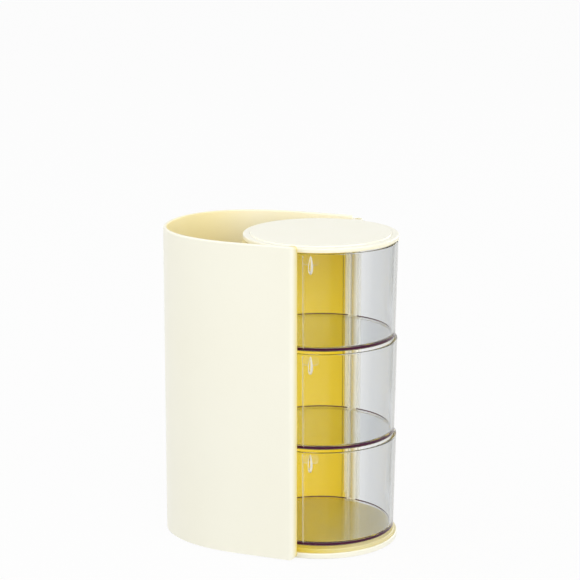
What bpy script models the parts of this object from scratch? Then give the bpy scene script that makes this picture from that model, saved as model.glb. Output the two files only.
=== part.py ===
"""Organizer for hair accessories: an oval shell with a tall open bay for long things, beside three clear
round drawers that stand one above the other and swing out on a shared rod.

Lengths are in metres. +Z is up, +X points to the drawers and -Y is the front. The origin is the middle of
the footprint, on the surface that the feet stand on. Outlines are drawn about the axis of the drawer stack.
"""

from math import acos, asin, atan2, cos, degrees, hypot, pi, radians, sin, sqrt

import bmesh
import bpy
from mathutils import Matrix

MM = 0.001

# Fits and walls
CLEARANCE = 0.3 * MM  # between pieces that rest on each other or fit together
WALL = 2.4 * MM  # shell and bay floor
OVERRUN = 2.0 * MM  # how far a cutter reaches past the face that it cuts
SEAM = 1.0 * MM  # how deep one shape is rooted in another that it is joined to

# Drawers
DRAWER_NAMES = ("drawer_bottom", "drawer_middle", "drawer_top")
DRAWER_RIM_RADIUS = 50.2 * MM
DRAWER_DRAFT = 1.4 * MM  # how much narrower a drawer is at its bottom
DRAWER_HEIGHT = 64.6 * MM
DRAWER_WALL = 2.2 * MM
DRAWER_FLOOR = 2.4 * MM
DRAWER_FOOT_ROUND = 1.5 * MM
DRAWER_INNER_ROUND = 2.4 * MM
DRAWER_RIM_ROUND = 0.6 * MM
DRAWER_GAP = 1.6 * MM  # running gap under each drawer
ROOF_GAP = 1.0 * MM  # from the top drawer up to the roof
SWING_GAP = 0.8 * MM  # between a drawer's rim and the partition

# Finger grip on each drawer
GRIP_BEARING = -76.5  # degrees from +X about the stack
GRIP_HEIGHT = 12.5 * MM
GRIP_WIDTH = 2.6 * MM
GRIP_REACH = 4.4 * MM
GRIP_DROP = 0.9 * MM  # from the rim down to the grip
GRIP_LEVEL_SHARES = (0.02, 0.12, 0.28, 0.5, 0.72, 0.88, 0.98)
GRIP_SWELL_POWER = 0.55

# Pivot at the back end of the shell
ROD_RADIUS = 2.2 * MM
EAR_WALL = 1.1 * MM
EAR_SETBACK = 0.4 * MM  # how far a drawer's ear stays inside its rim and floor
PIVOT_X = 4.9 * MM
POST_GAP = 0.5 * MM  # between an ear and the end of the shell's back wall
ROD_SOCKET_FLOOR = 1.2 * MM
ROD_RECESS = 1.6 * MM
PLUG_HEIGHT = 0.9 * MM
WASHER_RIM = 1.0 * MM

# Base plate
FLANGE_OVERHANG = 0.8 * MM  # from the edge of the roof out to the edge of the flange
FLANGE_THICKNESS = 3.6 * MM
FLANGE_ROUND = 0.7 * MM
PLINTH_INSET = 1.4 * MM  # from the partition in to the plinth under the drawers
PLINTH_RISE = 2.4 * MM

# Roof over the drawers and its cap
ROOF_OVERHANG = 1.4 * MM  # how much larger the roof's radius is than a drawer's
ROOF_SHIFT = 1.2 * MM  # how far the roof and the flange are centred to the left of the drawers
ROOF_THICKNESS = 3.0 * MM
ROOF_ROUND = 0.7 * MM
ROOF_RING = 4.6 * MM  # width of the ring that shows round the cap
SHELF_THICKNESS = 1.3 * MM
CAP_RISE = 0.8 * MM
CAP_ROUND = 0.8 * MM
CAP_PEG_RADIUS = 1.5 * MM
CAP_PEG_SETBACK = 9.0 * MM
CAP_PEG_BEARINGS = (30, 150, 270)

# Partition behind the drawers
PARTITION_WALL = 1.8 * MM
LUG_BEARINGS = (150, 180, 210)
LUG_HALF_ANGLE = 4
LUG_THICKNESS = 0.8 * MM
LUG_HEIGHT = 2.0 * MM
LUG_INSET = 0.2 * MM  # from the partition's drawer side
TAB_SETBACK = 4.0 * MM  # from the end of the shell's back wall to the partition's tab
RIB_WIDTH = 1.3 * MM
RIB_DROP = 12.0 * MM  # from the rim down to the ribs that hold the tabs

# Outer shell
SIDE_GAP = 3.6 * MM  # between the partition and the shell's walls
ROUND_END_START = 36.3 * MM  # from the stack axis to where the rounded end begins
ROUND_END_REACH = 73.3 * MM
ROUND_END_POWER = 2.22  # 2 is an ellipse, and more is squarer
FRONT_END_X = 4.4 * MM
LIP_THICKNESS = 6.0 * MM
LIP_LENGTH = 5.3 * MM
LIP_SLOPE = 0.6 * MM
FRONT_NOSE = 5.0 * MM
BACK_NOSE = 1.2 * MM
INNER_NOSE = 0.8 * MM
TOP_CORNER = 2.0 * MM
FOOT_CORNER = 3.4 * MM
NOSE_SHARES = (0, 0.03, 0.12, 0.28, 0.55, 1)
RIM_ROUND = 0.9 * MM
RIM_LIMIT_SHARE = 0.45
RIM_ABOVE_CAP = 0.8 * MM

# Screws and the bosses that they turn into
BOSS_RADIUS = 3.5 * MM
BOSS_HEIGHT = 7.5 * MM
BOSS_HOLE_CAP = 0.8 * MM
SCREW_RADIUS = 1.3 * MM
SCREW_TIP = 1.0 * MM
HEAD_RADIUS = 2.8 * MM
HEAD_HEIGHT = 1.6 * MM
HEAD_ROUND = 0.5 * MM
SHELL_SCREW_SETBACK = 25.0 * MM  # from the partition to the screws under the open bay
SHELL_SCREW_BEARINGS = (148, 180, 212)
PARTITION_SCREW_BEARINGS = (130, 230)

# Feet
FOOT_RADIUS = 5.0 * MM
FOOT_HEIGHT = 1.6 * MM
FOOT_PROUD = 1.0 * MM
FOOT_ROUND = 0.4 * MM
FOOT_EDGE = 8.6 * MM  # from the edge of the base to a foot's middle
SIDE_FOOT_SHIFT = 15.0 * MM
BAY_FOOT_BEARING = 38

# Facets
TURN_STEPS = 64
SMALL_TURN_STEPS = 16
END_STEPS = 40
ARC_STEPS = 40
EAR_STEPS = 8
LUG_STEPS = 2
ROUND_STEPS = 2
RIM_STEPS = 3
SMOOTH_DEGREES = 32

# Radii and half widths about the stack axis
DRAWER_FOOT_RADIUS = DRAWER_RIM_RADIUS - DRAWER_DRAFT
PARTITION_INNER = DRAWER_RIM_RADIUS + SWING_GAP
PARTITION_OUTER = PARTITION_INNER + PARTITION_WALL
PLINTH_RADIUS = PARTITION_INNER - PLINTH_INSET
SHELL_INNER_HALF = PARTITION_OUTER + SIDE_GAP
HALF_WIDTH = SHELL_INNER_HALF + WALL
ROOF_RADIUS = DRAWER_RIM_RADIUS + ROOF_OVERHANG
FLANGE_RADIUS = ROOF_RADIUS + FLANGE_OVERHANG
BASE_INSET = WALL + CLEARANCE
CAP_RADIUS = ROOF_RADIUS - ROOF_RING - CLEARANCE
ROOF_CENTRE = (-ROOF_SHIFT, 0)

# Pivot
BORE_RADIUS = ROD_RADIUS + CLEARANCE
EAR_RADIUS = BORE_RADIUS + EAR_WALL
PIVOT = (PIVOT_X, HALF_WIDTH - EAR_RADIUS)

# Places along +X about the stack axis
LEFT_END = -ROUND_END_START - ROUND_END_REACH
RIGHT_END = FLANGE_RADIUS - ROOF_SHIFT
STACK_X = -(LEFT_END + RIGHT_END) / 2
BACK_END_X = PIVOT_X - EAR_RADIUS - POST_GAP
LIP_X = FRONT_END_X - LIP_LENGTH - LIP_SLOPE
FRONT_TAB_X = LIP_X - CLEARANCE
BACK_TAB_X = BACK_END_X - TAB_SETBACK

# Heights above the surface that the feet stand on
UNDERSIDE = FOOT_PROUD
BASE_TOP = UNDERSIDE + FLANGE_THICKNESS
PLINTH_TOP = BASE_TOP + PLINTH_RISE
DRAWER_PITCH = DRAWER_HEIGHT + DRAWER_GAP
DRAWER_FEET = [PLINTH_TOP + DRAWER_GAP + DRAWER_PITCH * level for level in range(len(DRAWER_NAMES))]
ROOF_UNDERSIDE = DRAWER_FEET[-1] + DRAWER_HEIGHT + ROOF_GAP
ROOF_TOP = ROOF_UNDERSIDE + ROOF_THICKNESS
SHELF_TOP = ROOF_UNDERSIDE + SHELF_THICKNESS
CAP_TOP = ROOF_TOP + CAP_RISE
SHELL_TOP = CAP_TOP + RIM_ABOVE_CAP
BOSS_FOOT = BASE_TOP + CLEARANCE
FLOOR_UNDERSIDE = BOSS_FOOT + BOSS_HEIGHT
FLOOR_TOP = FLOOR_UNDERSIDE + WALL
HEAD_SEAT = UNDERSIDE + CLEARANCE + HEAD_HEIGHT


def clear_scene():
    for thing in list(bpy.data.objects):
        bpy.data.objects.remove(thing)


def plastic(name, colour, roughness, metallic=0.0, transmission=0.0):
    material = bpy.data.materials.new(name)
    material.use_nodes = True
    shader = material.node_tree.nodes["Principled BSDF"]
    shader.inputs["Base Color"].default_value = (*colour, 1)
    shader.inputs["Roughness"].default_value = roughness
    shader.inputs["Metallic"].default_value = metallic
    shader.inputs["Transmission Weight"].default_value = transmission
    material.diffuse_color = (*colour, 1)
    return material


def polar(radius, bearing):
    return radius * cos(radians(bearing)), radius * sin(radians(bearing))


def arc(radius, start, end, steps, centre=(0, 0)):
    """Points on an arc about centre, from one bearing to another."""
    bearings = [start + (end - start) * step / steps for step in range(steps + 1)]
    return [(centre[0] + x, centre[1] + y) for x, y in (polar(radius, bearing) for bearing in bearings)]


def quarter(steps):
    """Angles of a quarter turn, for rounding an edge."""
    return [pi / 2 * step / steps for step in range(steps + 1)]


def finished(shape):
    bmesh.ops.recalc_face_normals(shape, faces=shape.faces)
    mesh = bpy.data.meshes.new("shape")
    shape.to_mesh(mesh)
    shape.free()
    mesh.shade_smooth()
    mesh.set_sharp_from_angle(angle=radians(SMOOTH_DEGREES))
    return mesh


def loft(rings):
    """Closed mesh through rings with the same number of points, capped flat at the first and the last."""
    shape = bmesh.new()
    rows = [[shape.verts.new(point) for point in ring] for ring in rings]
    for lower, upper in zip(rows, rows[1:]):
        for index in range(len(lower)):
            after = (index + 1) % len(lower)
            shape.faces.new((lower[index], lower[after], upper[after], upper[index]))
    shape.faces.new(rows[0][::-1])
    shape.faces.new(rows[-1])
    return finished(shape)


def turned(profile, steps=TURN_STEPS):
    """Closed mesh turned about +Z from (radius, height) points that end on the axis or close into a ring."""
    shape = bmesh.new()
    turns = [2 * pi * step / steps for step in range(steps)]
    rows = []
    for radius, height in profile:
        spots = turns if radius else turns[:1]
        rows.append([shape.verts.new((radius * cos(turn), radius * sin(turn), height)) for turn in spots])
    if profile[0][0]:
        rows.append(rows[0])
    for lower, upper in zip(rows, rows[1:]):
        for index in range(steps):
            after = index + 1
            corners = (
                lower[index % len(lower)],
                lower[after % len(lower)],
                upper[after % len(upper)],
                upper[index % len(upper)],
            )
            shape.faces.new(dict.fromkeys(corners))
    return finished(shape)


def inset(outline, distance):
    """The same outline, counter-clockwise, moved inwards by distance."""
    moved = []
    for index, (x, y) in enumerate(outline):
        before = outline[index - 1]
        after = outline[(index + 1) % len(outline)]
        sides = []
        for start, end in ((before, (x, y)), ((x, y), after)):
            length = hypot(end[0] - start[0], end[1] - start[1])
            sides.append(((start[1] - end[1]) / length, (end[0] - start[0]) / length))
        across = (sides[0][0] + sides[1][0], sides[0][1] + sides[1][1])
        scale = 2 * distance / (across[0] ** 2 + across[1] ** 2)
        moved.append((x + across[0] * scale, y + across[1] * scale))
    return moved


def plate(outline, bottom, top, rounding=0):
    """Solid over a counter-clockwise outline, with its upper edge rounded."""
    rings = [[(x, y, bottom) for x, y in outline]]
    if not rounding:
        rings.append([(x, y, top) for x, y in outline])
        return loft(rings)
    for turn in quarter(ROUND_STEPS):
        height = top - rounding * (1 - sin(turn))
        edge = inset(outline, rounding * (1 - cos(turn)))
        rings.append([(x, y, height) for x, y in edge])
    return loft(rings)


def cylinder(radius, bottom, top, steps=SMALL_TURN_STEPS):
    return turned([(0, bottom), (radius, bottom), (radius, top), (0, top)], steps)


def box(low, high):
    corners = [(low[0], low[1]), (high[0], low[1]), (high[0], high[1]), (low[0], high[1])]
    return plate(corners, low[2], high[2])


def copies(mesh, places):
    """One mesh that holds a copy of another at each place."""
    shape = bmesh.new()
    for x, y in places:
        copy = mesh.copy()
        copy.transform(Matrix.Translation((x, y, 0)))
        shape.from_mesh(copy)
    return finished(shape)


def together(meshes):
    """One mesh that holds several, which stay separate bodies."""
    shape = bmesh.new()
    for mesh in meshes:
        shape.from_mesh(mesh)
    return finished(shape)


def add(name, mesh, parent, place=(0, 0, 0)):
    thing = bpy.data.objects.new(name, mesh)
    thing.parent = parent
    thing.location = place
    bpy.context.scene.collection.objects.link(thing)
    return thing


def axis(name, place, parent=None):
    """An empty whose +Z is an axis that pieces are placed about."""
    return add(name, None, parent, place)


def change(body, operation, mesh, name):
    """Joins a shape to a body, or cuts it out of it, with a modifier and a hidden helper."""
    helper = add(f"{body.name}_{name}", mesh, body.parent, body.location)
    helper.hide_render = True
    helper.display_type = "WIRE"
    modifier = body.modifiers.new(name, "BOOLEAN")
    modifier.operation = operation
    modifier.solver = "EXACT"
    modifier.object = helper


def front_wall(x):
    """Place on the shell's front wall, as a function of the depth in from its outer face."""
    return lambda depth: (x, depth - HALF_WIDTH)


def back_wall(x):
    return lambda depth: (x, HALF_WIDTH - depth)


def round_end(turn):
    """Place on the rounded end, which turns from the front wall at 0 to the back wall at pi."""

    def place(depth):
        power = 2 / ROUND_END_POWER
        side = 1 if turn > pi / 2 else -1
        x = -ROUND_END_START - (ROUND_END_REACH - depth) * abs(sin(turn)) ** power
        return x, side * (HALF_WIDTH - depth) * abs(cos(turn)) ** power

    return place


def end_turns():
    return [pi * step / END_STEPS for step in range(END_STEPS + 1)]


def shell_path(front_x, back_x, depth):
    """The shell's outline at a depth in from its outer face, from the front wall round to the back wall."""
    places = [front_wall(front_x)] + [round_end(turn) for turn in end_turns()] + [back_wall(back_x)]
    return [place(depth) for place in places]


def corner(distance, radius):
    """How far a rounded corner stands back, at a distance from the end that it rounds."""
    return radius - sqrt(radius**2 - (radius - distance) ** 2) if distance < radius else 0.0


def shell_section(place, outer, inner, low, high):
    """Loop across the shell's wall: up its outer face, over the rounded rim and down its inner face."""
    rim = min(RIM_ROUND, RIM_LIMIT_SHARE * (inner - outer))
    edge = [(rim * (1 - cos(turn)), high - rim * (1 - sin(turn))) for turn in quarter(RIM_STEPS)]
    profile = [(outer, low)]
    profile += [(outer + back, height) for back, height in edge]
    profile += [(inner - back, height) for back, height in reversed(edge)]
    profile += [(inner, low)]
    return [(*place(depth), height) for depth, height in profile]


def nose_section(place, distance, nose, inner):
    """Section near a free end of the wall, whose edges and corners are rounded."""
    return shell_section(
        place,
        corner(distance, nose),
        inner - corner(distance, INNER_NOSE),
        UNDERSIDE + corner(distance, FOOT_CORNER),
        SHELL_TOP - corner(distance, TOP_CORNER),
    )


def shell_wall():
    """The wall from its thick front lip, round the closed end, to the back wall's end beside the pivot."""
    sections = []
    for distance in (FRONT_NOSE * share for share in NOSE_SHARES):
        place = front_wall(FRONT_END_X - distance)
        sections.append(nose_section(place, distance, FRONT_NOSE, LIP_THICKNESS))
    lip_root = front_wall(LIP_X + LIP_SLOPE)
    sections.append(shell_section(lip_root, 0, LIP_THICKNESS, UNDERSIDE, SHELL_TOP))
    sections.append(shell_section(front_wall(LIP_X), 0, WALL, UNDERSIDE, SHELL_TOP))
    for turn in end_turns():
        sections.append(shell_section(round_end(turn), 0, WALL, UNDERSIDE, SHELL_TOP))
    for distance in (FOOT_CORNER * share for share in reversed(NOSE_SHARES)):
        place = back_wall(BACK_END_X - distance)
        sections.append(nose_section(place, distance, BACK_NOSE, WALL))
    return loft(sections)


def bearing_at(x, radius):
    """Bearing, between 0 and 180, of the point of a circle that lies at x."""
    return degrees(acos(x / radius))


def rib_boxes():
    """Ribs inside the shell's walls that the partition's tabs stand between."""
    inner = PARTITION_OUTER + CLEARANCE
    root = SHELL_INNER_HALF + SEAM
    low = FLOOR_UNDERSIDE + SEAM
    high = SHELL_TOP - RIB_DROP
    front = FRONT_TAB_X - PARTITION_WALL - CLEARANCE
    back = BACK_TAB_X - PARTITION_WALL - CLEARANCE
    beside = BACK_TAB_X + CLEARANCE
    return together(
        [
            box((front - RIB_WIDTH, -root, low), (front, -inner, high)),
            box((back - RIB_WIDTH, inner, low), (back, root, high)),
            box((beside, inner, low), (beside + RIB_WIDTH, root, high)),
        ]
    )


def bay_floor():
    """Raised floor of the open bay, from the shell's wall to the partition."""
    edge = PARTITION_OUTER + CLEARANCE
    front = FRONT_TAB_X - PARTITION_WALL - CLEARANCE - RIB_WIDTH / 2
    back = BACK_TAB_X - PARTITION_WALL - CLEARANCE - RIB_WIDTH / 2
    outer = shell_path(front, back, WALL - SEAM)
    inner = arc(edge, bearing_at(back, edge), 360 - bearing_at(front, edge), ARC_STEPS)
    return plate((outer + inner)[::-1], FLOOR_UNDERSIDE, FLOOR_TOP)


def shell_screw_places():
    return [polar(PARTITION_OUTER + SHELL_SCREW_SETBACK, bearing) for bearing in SHELL_SCREW_BEARINGS]


def partition_screw_places():
    radius = PARTITION_OUTER + BOSS_RADIUS - SEAM
    return [polar(radius, bearing) for bearing in PARTITION_SCREW_BEARINGS]


def boss_holes(places):
    top = FLOOR_UNDERSIDE - BOSS_HOLE_CAP
    return copies(cylinder(SCREW_RADIUS + CLEARANCE, BOSS_FOOT - OVERRUN, top), places)


def make_shell(stack):
    shell = add("outer_shell", shell_wall(), stack)
    change(shell, "UNION", bay_floor(), "floor")
    change(shell, "UNION", rib_boxes(), "ribs")
    bosses = copies(cylinder(BOSS_RADIUS, BOSS_FOOT, FLOOR_UNDERSIDE + SEAM), shell_screw_places())
    change(shell, "UNION", bosses, "bosses")
    change(shell, "DIFFERENCE", boss_holes(shell_screw_places()), "holes")
    return shell


def partition_outline():
    """Arc of wall behind the drawers, with a tab at each end that reaches the shell."""
    reach = SHELL_INNER_HALF - CLEARANCE
    front_end = 360 - bearing_at(FRONT_TAB_X, PARTITION_INNER)
    back_end = bearing_at(BACK_TAB_X, PARTITION_INNER)
    front_root = 360 - bearing_at(FRONT_TAB_X - PARTITION_WALL, PARTITION_OUTER)
    back_root = bearing_at(BACK_TAB_X - PARTITION_WALL, PARTITION_OUTER)
    outline = arc(PARTITION_OUTER, back_root, front_root, ARC_STEPS)
    outline += [(FRONT_TAB_X - PARTITION_WALL, -reach), (FRONT_TAB_X, -reach)]
    outline += arc(PARTITION_INNER, front_end, back_end, ARC_STEPS)
    return outline + [(BACK_TAB_X, reach), (BACK_TAB_X - PARTITION_WALL, reach)]


def lug_sectors(spread, bottom, top):
    """Curved blocks along the partition's upper edge. Spread makes them larger, as pockets for the lugs."""
    inner = PARTITION_INNER + LUG_INSET - spread
    outer = PARTITION_INNER + LUG_INSET + LUG_THICKNESS + spread
    half = LUG_HALF_ANGLE + degrees(spread / inner)
    blocks = []
    for bearing in LUG_BEARINGS:
        outline = arc(outer, bearing - half, bearing + half, LUG_STEPS)
        outline += arc(inner, bearing + half, bearing - half, LUG_STEPS)
        blocks.append(plate(outline, bottom, top))
    return together(blocks)


def make_partition(stack):
    top = ROOF_UNDERSIDE - CLEARANCE
    partition = add("bay_partition", plate(partition_outline(), BOSS_FOOT, top), stack)
    lugs = lug_sectors(0, top - LUG_HEIGHT, top + LUG_HEIGHT)
    change(partition, "UNION", lugs, "lugs")
    bosses = cylinder(BOSS_RADIUS, BOSS_FOOT, FLOOR_UNDERSIDE - CLEARANCE)
    change(partition, "UNION", copies(bosses, partition_screw_places()), "bosses")
    change(partition, "DIFFERENCE", boss_holes(partition_screw_places()), "holes")
    return partition


def pivot_bearing(centre=(0, 0)):
    return degrees(atan2(PIVOT[1] - centre[1], PIVOT[0] - centre[0]))


def ear_spread(radius):
    """Half the angle that an ear's web takes of a circle with this radius."""
    return degrees(asin(EAR_RADIUS / radius))


def ear_arc(start, end):
    return arc(EAR_RADIUS, start, end, EAR_STEPS, PIVOT)


def base_outline():
    """Plate inside the shell's walls that comes out from between them as a round flange and an ear."""
    half = HALF_WIDTH - BASE_INSET
    bearing = pivot_bearing(ROOF_CENTRE)
    first = -bearing_at(FRONT_TAB_X - ROOF_CENTRE[0], FLANGE_RADIUS)
    last = bearing - ear_spread(FLANGE_RADIUS)
    meeting = degrees(acos((half - PIVOT[1]) / EAR_RADIUS))
    ear = ear_arc(bearing - 90, 90 + meeting)
    flange = arc(FLANGE_RADIUS, first, last, ARC_STEPS, ROOF_CENTRE)
    return flange + ear[:-1] + shell_path(FRONT_TAB_X, ear[-1][0], BASE_INSET)[::-1]


def foot_places():
    half = HALF_WIDTH - BASE_INSET - FOOT_EDGE
    bay_x, bay_y = polar(FLANGE_RADIUS - FOOT_EDGE, BAY_FOOT_BEARING)
    return {
        "foot_end": (LEFT_END + BASE_INSET + FOOT_EDGE, 0),
        "foot_front": (-SIDE_FOOT_SHIFT, -half),
        "foot_back": (-SIDE_FOOT_SHIFT, half),
        "foot_bay_front": (bay_x - ROOF_SHIFT, -bay_y),
        "foot_bay_back": (bay_x - ROOF_SHIFT, bay_y),
    }


def screw_ways():
    """Holes through the base plate for the screws, wide enough below for their heads."""
    wide = HEAD_RADIUS + CLEARANCE
    narrow = SCREW_RADIUS + CLEARANCE
    seat = HEAD_SEAT + CLEARANCE
    low = UNDERSIDE - OVERRUN
    high = BASE_TOP + OVERRUN
    profile = [(0, low), (wide, low), (wide, seat), (narrow, seat), (narrow, high), (0, high)]
    return copies(turned(profile, SMALL_TURN_STEPS), shell_screw_places() + partition_screw_places())


def make_base(stack):
    base = add("base_plate", plate(base_outline(), UNDERSIDE, BASE_TOP, FLANGE_ROUND), stack)
    middle = UNDERSIDE + FLANGE_THICKNESS / 2
    change(base, "UNION", cylinder(PLINTH_RADIUS, middle, PLINTH_TOP, TURN_STEPS), "plinth")
    boss = copies(cylinder(EAR_RADIUS - FLANGE_ROUND, middle, PLINTH_TOP), [PIVOT])
    change(base, "UNION", boss, "pivot_boss")
    socket = cylinder(BORE_RADIUS, UNDERSIDE + ROD_SOCKET_FLOOR, PLINTH_TOP + OVERRUN)
    change(base, "DIFFERENCE", copies(socket, [PIVOT]), "rod_socket")
    change(base, "DIFFERENCE", screw_ways(), "screw_ways")
    depth = FOOT_HEIGHT - FOOT_PROUD + CLEARANCE
    pocket = cylinder(FOOT_RADIUS + CLEARANCE, UNDERSIDE - OVERRUN, UNDERSIDE + depth)
    change(base, "DIFFERENCE", copies(pocket, foot_places().values()), "foot_pockets")
    return base


def roof_outline():
    """Round roof with an ear round the pivot."""
    bearing = pivot_bearing(ROOF_CENTRE)
    spread = ear_spread(ROOF_RADIUS)
    edge = arc(ROOF_RADIUS, bearing + spread, bearing - spread + 360, TURN_STEPS, ROOF_CENTRE)
    return edge + ear_arc(bearing - 90, bearing + 90)


def cap_peg_places():
    return [polar(CAP_RADIUS - CAP_PEG_SETBACK, bearing) for bearing in CAP_PEG_BEARINGS]


def make_roof(stack):
    roof = add("bay_roof", plate(roof_outline(), ROOF_UNDERSIDE, ROOF_TOP, ROOF_ROUND), stack)
    low = ROOF_UNDERSIDE - OVERRUN
    high = ROOF_TOP + OVERRUN
    recess = cylinder(CAP_RADIUS + CLEARANCE, SHELF_TOP, high, TURN_STEPS)
    change(roof, "DIFFERENCE", copies(recess, [ROOF_CENTRE]), "cap_recess")
    pockets = lug_sectors(CLEARANCE, low, ROOF_UNDERSIDE + LUG_HEIGHT)
    change(roof, "DIFFERENCE", pockets, "lug_pockets")
    change(roof, "DIFFERENCE", copies(cylinder(BORE_RADIUS, low, high), [PIVOT]), "rod_hole")
    peg_hole = copies(cylinder(CAP_PEG_RADIUS + CLEARANCE, low, high), cap_peg_places())
    change(roof, "DIFFERENCE", copies(peg_hole, [ROOF_CENTRE]), "peg_holes")
    return roof


def rounded_edge(radius, height, size, steps):
    """Points over the rounded upper edge of a turned shape, from its side to its top."""
    return [(radius - size * (1 - cos(turn)), height - size * (1 - sin(turn))) for turn in quarter(steps)]


def make_cap(roof_axis):
    """Disc that closes the roof and stands a little above its ring, with pegs into the roof's shelf."""
    bottom = SHELF_TOP + CLEARANCE
    edge = rounded_edge(CAP_RADIUS, CAP_TOP, CAP_ROUND, RIM_STEPS)
    cap = add("roof_cap", turned([(0, bottom), (CAP_RADIUS, bottom)] + edge + [(0, CAP_TOP)]), roof_axis)
    peg = cylinder(CAP_PEG_RADIUS, ROOF_UNDERSIDE + CLEARANCE, bottom + SEAM)
    change(cap, "UNION", copies(peg, cap_peg_places()), "pegs")
    return cap


def drawer_profile():
    """Half section of a drawer, from under its middle up over the rim and back to the middle of its floor."""
    inner_foot = DRAWER_FOOT_RADIUS - DRAWER_WALL
    inner_rim = DRAWER_RIM_RADIUS - DRAWER_WALL
    underside = rounded_edge(DRAWER_FOOT_RADIUS, 0, DRAWER_FOOT_ROUND, ROUND_STEPS)
    rim = rounded_edge(DRAWER_RIM_RADIUS, DRAWER_HEIGHT, DRAWER_RIM_ROUND, ROUND_STEPS)
    inside = rounded_edge(inner_foot, -DRAWER_FLOOR, DRAWER_INNER_ROUND, ROUND_STEPS)
    profile = [(0, 0)]
    profile += [(radius, -height) for radius, height in reversed(underside)]
    profile += rim
    profile += [(DRAWER_RIM_RADIUS + inner_rim - radius, height) for radius, height in reversed(rim)]
    profile += [(radius, -height) for radius, height in inside]
    return profile + [(0, DRAWER_FLOOR)]


def ear_plate():
    """Tube for the rod with a web to the drawer's wall, before its bore."""
    bearing = pivot_bearing()
    x, y = polar(DRAWER_FOOT_RADIUS - SEAM, bearing)
    across_x, across_y = polar(EAR_RADIUS, bearing - 90)
    outline = [(x - across_x, y - across_y), (x + across_x, y + across_y)]
    outline += ear_arc(bearing - 90, bearing + 90)
    return plate(outline, EAR_SETBACK, DRAWER_HEIGHT - EAR_SETBACK)


def grip_fin():
    """Upright fin under the rim, pointed above and below, that a fingertip pulls."""
    rings = []
    top = DRAWER_HEIGHT - GRIP_DROP
    for share in GRIP_LEVEL_SHARES:
        height = top - GRIP_HEIGHT * (1 - share)
        wall = DRAWER_FOOT_RADIUS + DRAWER_DRAFT * height / DRAWER_HEIGHT
        swell = sin(pi * share) ** GRIP_SWELL_POWER
        half = GRIP_WIDTH / 2 * swell
        reach = GRIP_REACH * swell
        section = [(-SEAM, -half), (reach / 2, -half), (reach, -half / 2)]
        section += [(out, -side) for out, side in reversed(section)]
        rings.append([(wall + out, side, height) for out, side in section])
    fin = loft(rings)
    fin.transform(Matrix.Rotation(radians(GRIP_BEARING), 4, "Z"))
    return fin


def make_drawer(name, foot, pivot):
    """A cup that turns about the pivot. Its shapes are drawn about the stack axis and moved to the pivot."""
    to_pivot = Matrix.Translation((-PIVOT[0], -PIVOT[1], 0))
    shapes = {
        "ear": ("UNION", ear_plate()),
        "grip": ("UNION", grip_fin()),
        "bore": ("DIFFERENCE", copies(cylinder(BORE_RADIUS, -OVERRUN, DRAWER_HEIGHT + OVERRUN), [PIVOT])),
    }
    cup = turned(drawer_profile())
    cup.transform(to_pivot)
    drawer = add(name, cup, pivot, (0, 0, foot))
    for label, (operation, mesh) in shapes.items():
        mesh.transform(to_pivot)
        change(drawer, operation, mesh, label)
    return drawer


def make_washers(pivot):
    """Loose rings on the rod that keep the drawers apart, from the base up to the roof."""
    lower_faces = [PLINTH_TOP] + [foot + DRAWER_HEIGHT - EAR_SETBACK for foot in DRAWER_FEET]
    upper_faces = [foot + EAR_SETBACK for foot in DRAWER_FEET] + [ROOF_UNDERSIDE]
    washers = []
    for number, (below, above) in enumerate(zip(lower_faces, upper_faces), 1):
        low = below + CLEARANCE
        high = above - CLEARANCE
        outer = BORE_RADIUS + WASHER_RIM
        ring = [(BORE_RADIUS, low), (outer, low), (outer, high), (BORE_RADIUS, high)]
        washers.append(add(f"spacer_washer_{number}", turned(ring, SMALL_TURN_STEPS), pivot))
    return washers


def make_rod(pivot):
    top = ROOF_TOP - ROD_RECESS
    return add("pivot_rod", cylinder(ROD_RADIUS, UNDERSIDE + ROD_SOCKET_FLOOR + CLEARANCE, top), pivot)


def make_plug(pivot):
    bottom = ROOF_TOP - ROD_RECESS + CLEARANCE
    return add("pivot_plug", cylinder(ROD_RADIUS, bottom, bottom + PLUG_HEIGHT), pivot)


def screw():
    low = UNDERSIDE + CLEARANCE
    tip = FLOOR_UNDERSIDE - BOSS_HOLE_CAP - CLEARANCE
    head = [(HEAD_RADIUS - HEAD_ROUND, low), (HEAD_RADIUS, low + HEAD_ROUND), (HEAD_RADIUS, HEAD_SEAT)]
    shank = [(SCREW_RADIUS, HEAD_SEAT), (SCREW_RADIUS, tip - SCREW_TIP)]
    return turned([(0, low)] + head + shank + [(0, tip)], SMALL_TURN_STEPS)


def make_screws(label, places, stack):
    screws = []
    for number, (x, y) in enumerate(places, 1):
        screws.append(add(f"{label}_screw_{number}", screw(), stack, (x, y, 0)))
    return screws


def foot():
    wide = FOOT_RADIUS
    profile = [(0, 0), (wide - FOOT_ROUND, 0), (wide, FOOT_ROUND), (wide, FOOT_HEIGHT), (0, FOOT_HEIGHT)]
    return turned(profile, SMALL_TURN_STEPS)


def make_feet(stack):
    return [add(name, foot(), stack, (x, y, 0)) for name, (x, y) in foot_places().items()]


def paint(things, material_name, *look, **more):
    """Gives each piece a material of its own."""
    for thing in things:
        thing.data.materials.append(plastic(f"{thing.name}_{material_name}", *look, **more))


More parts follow.
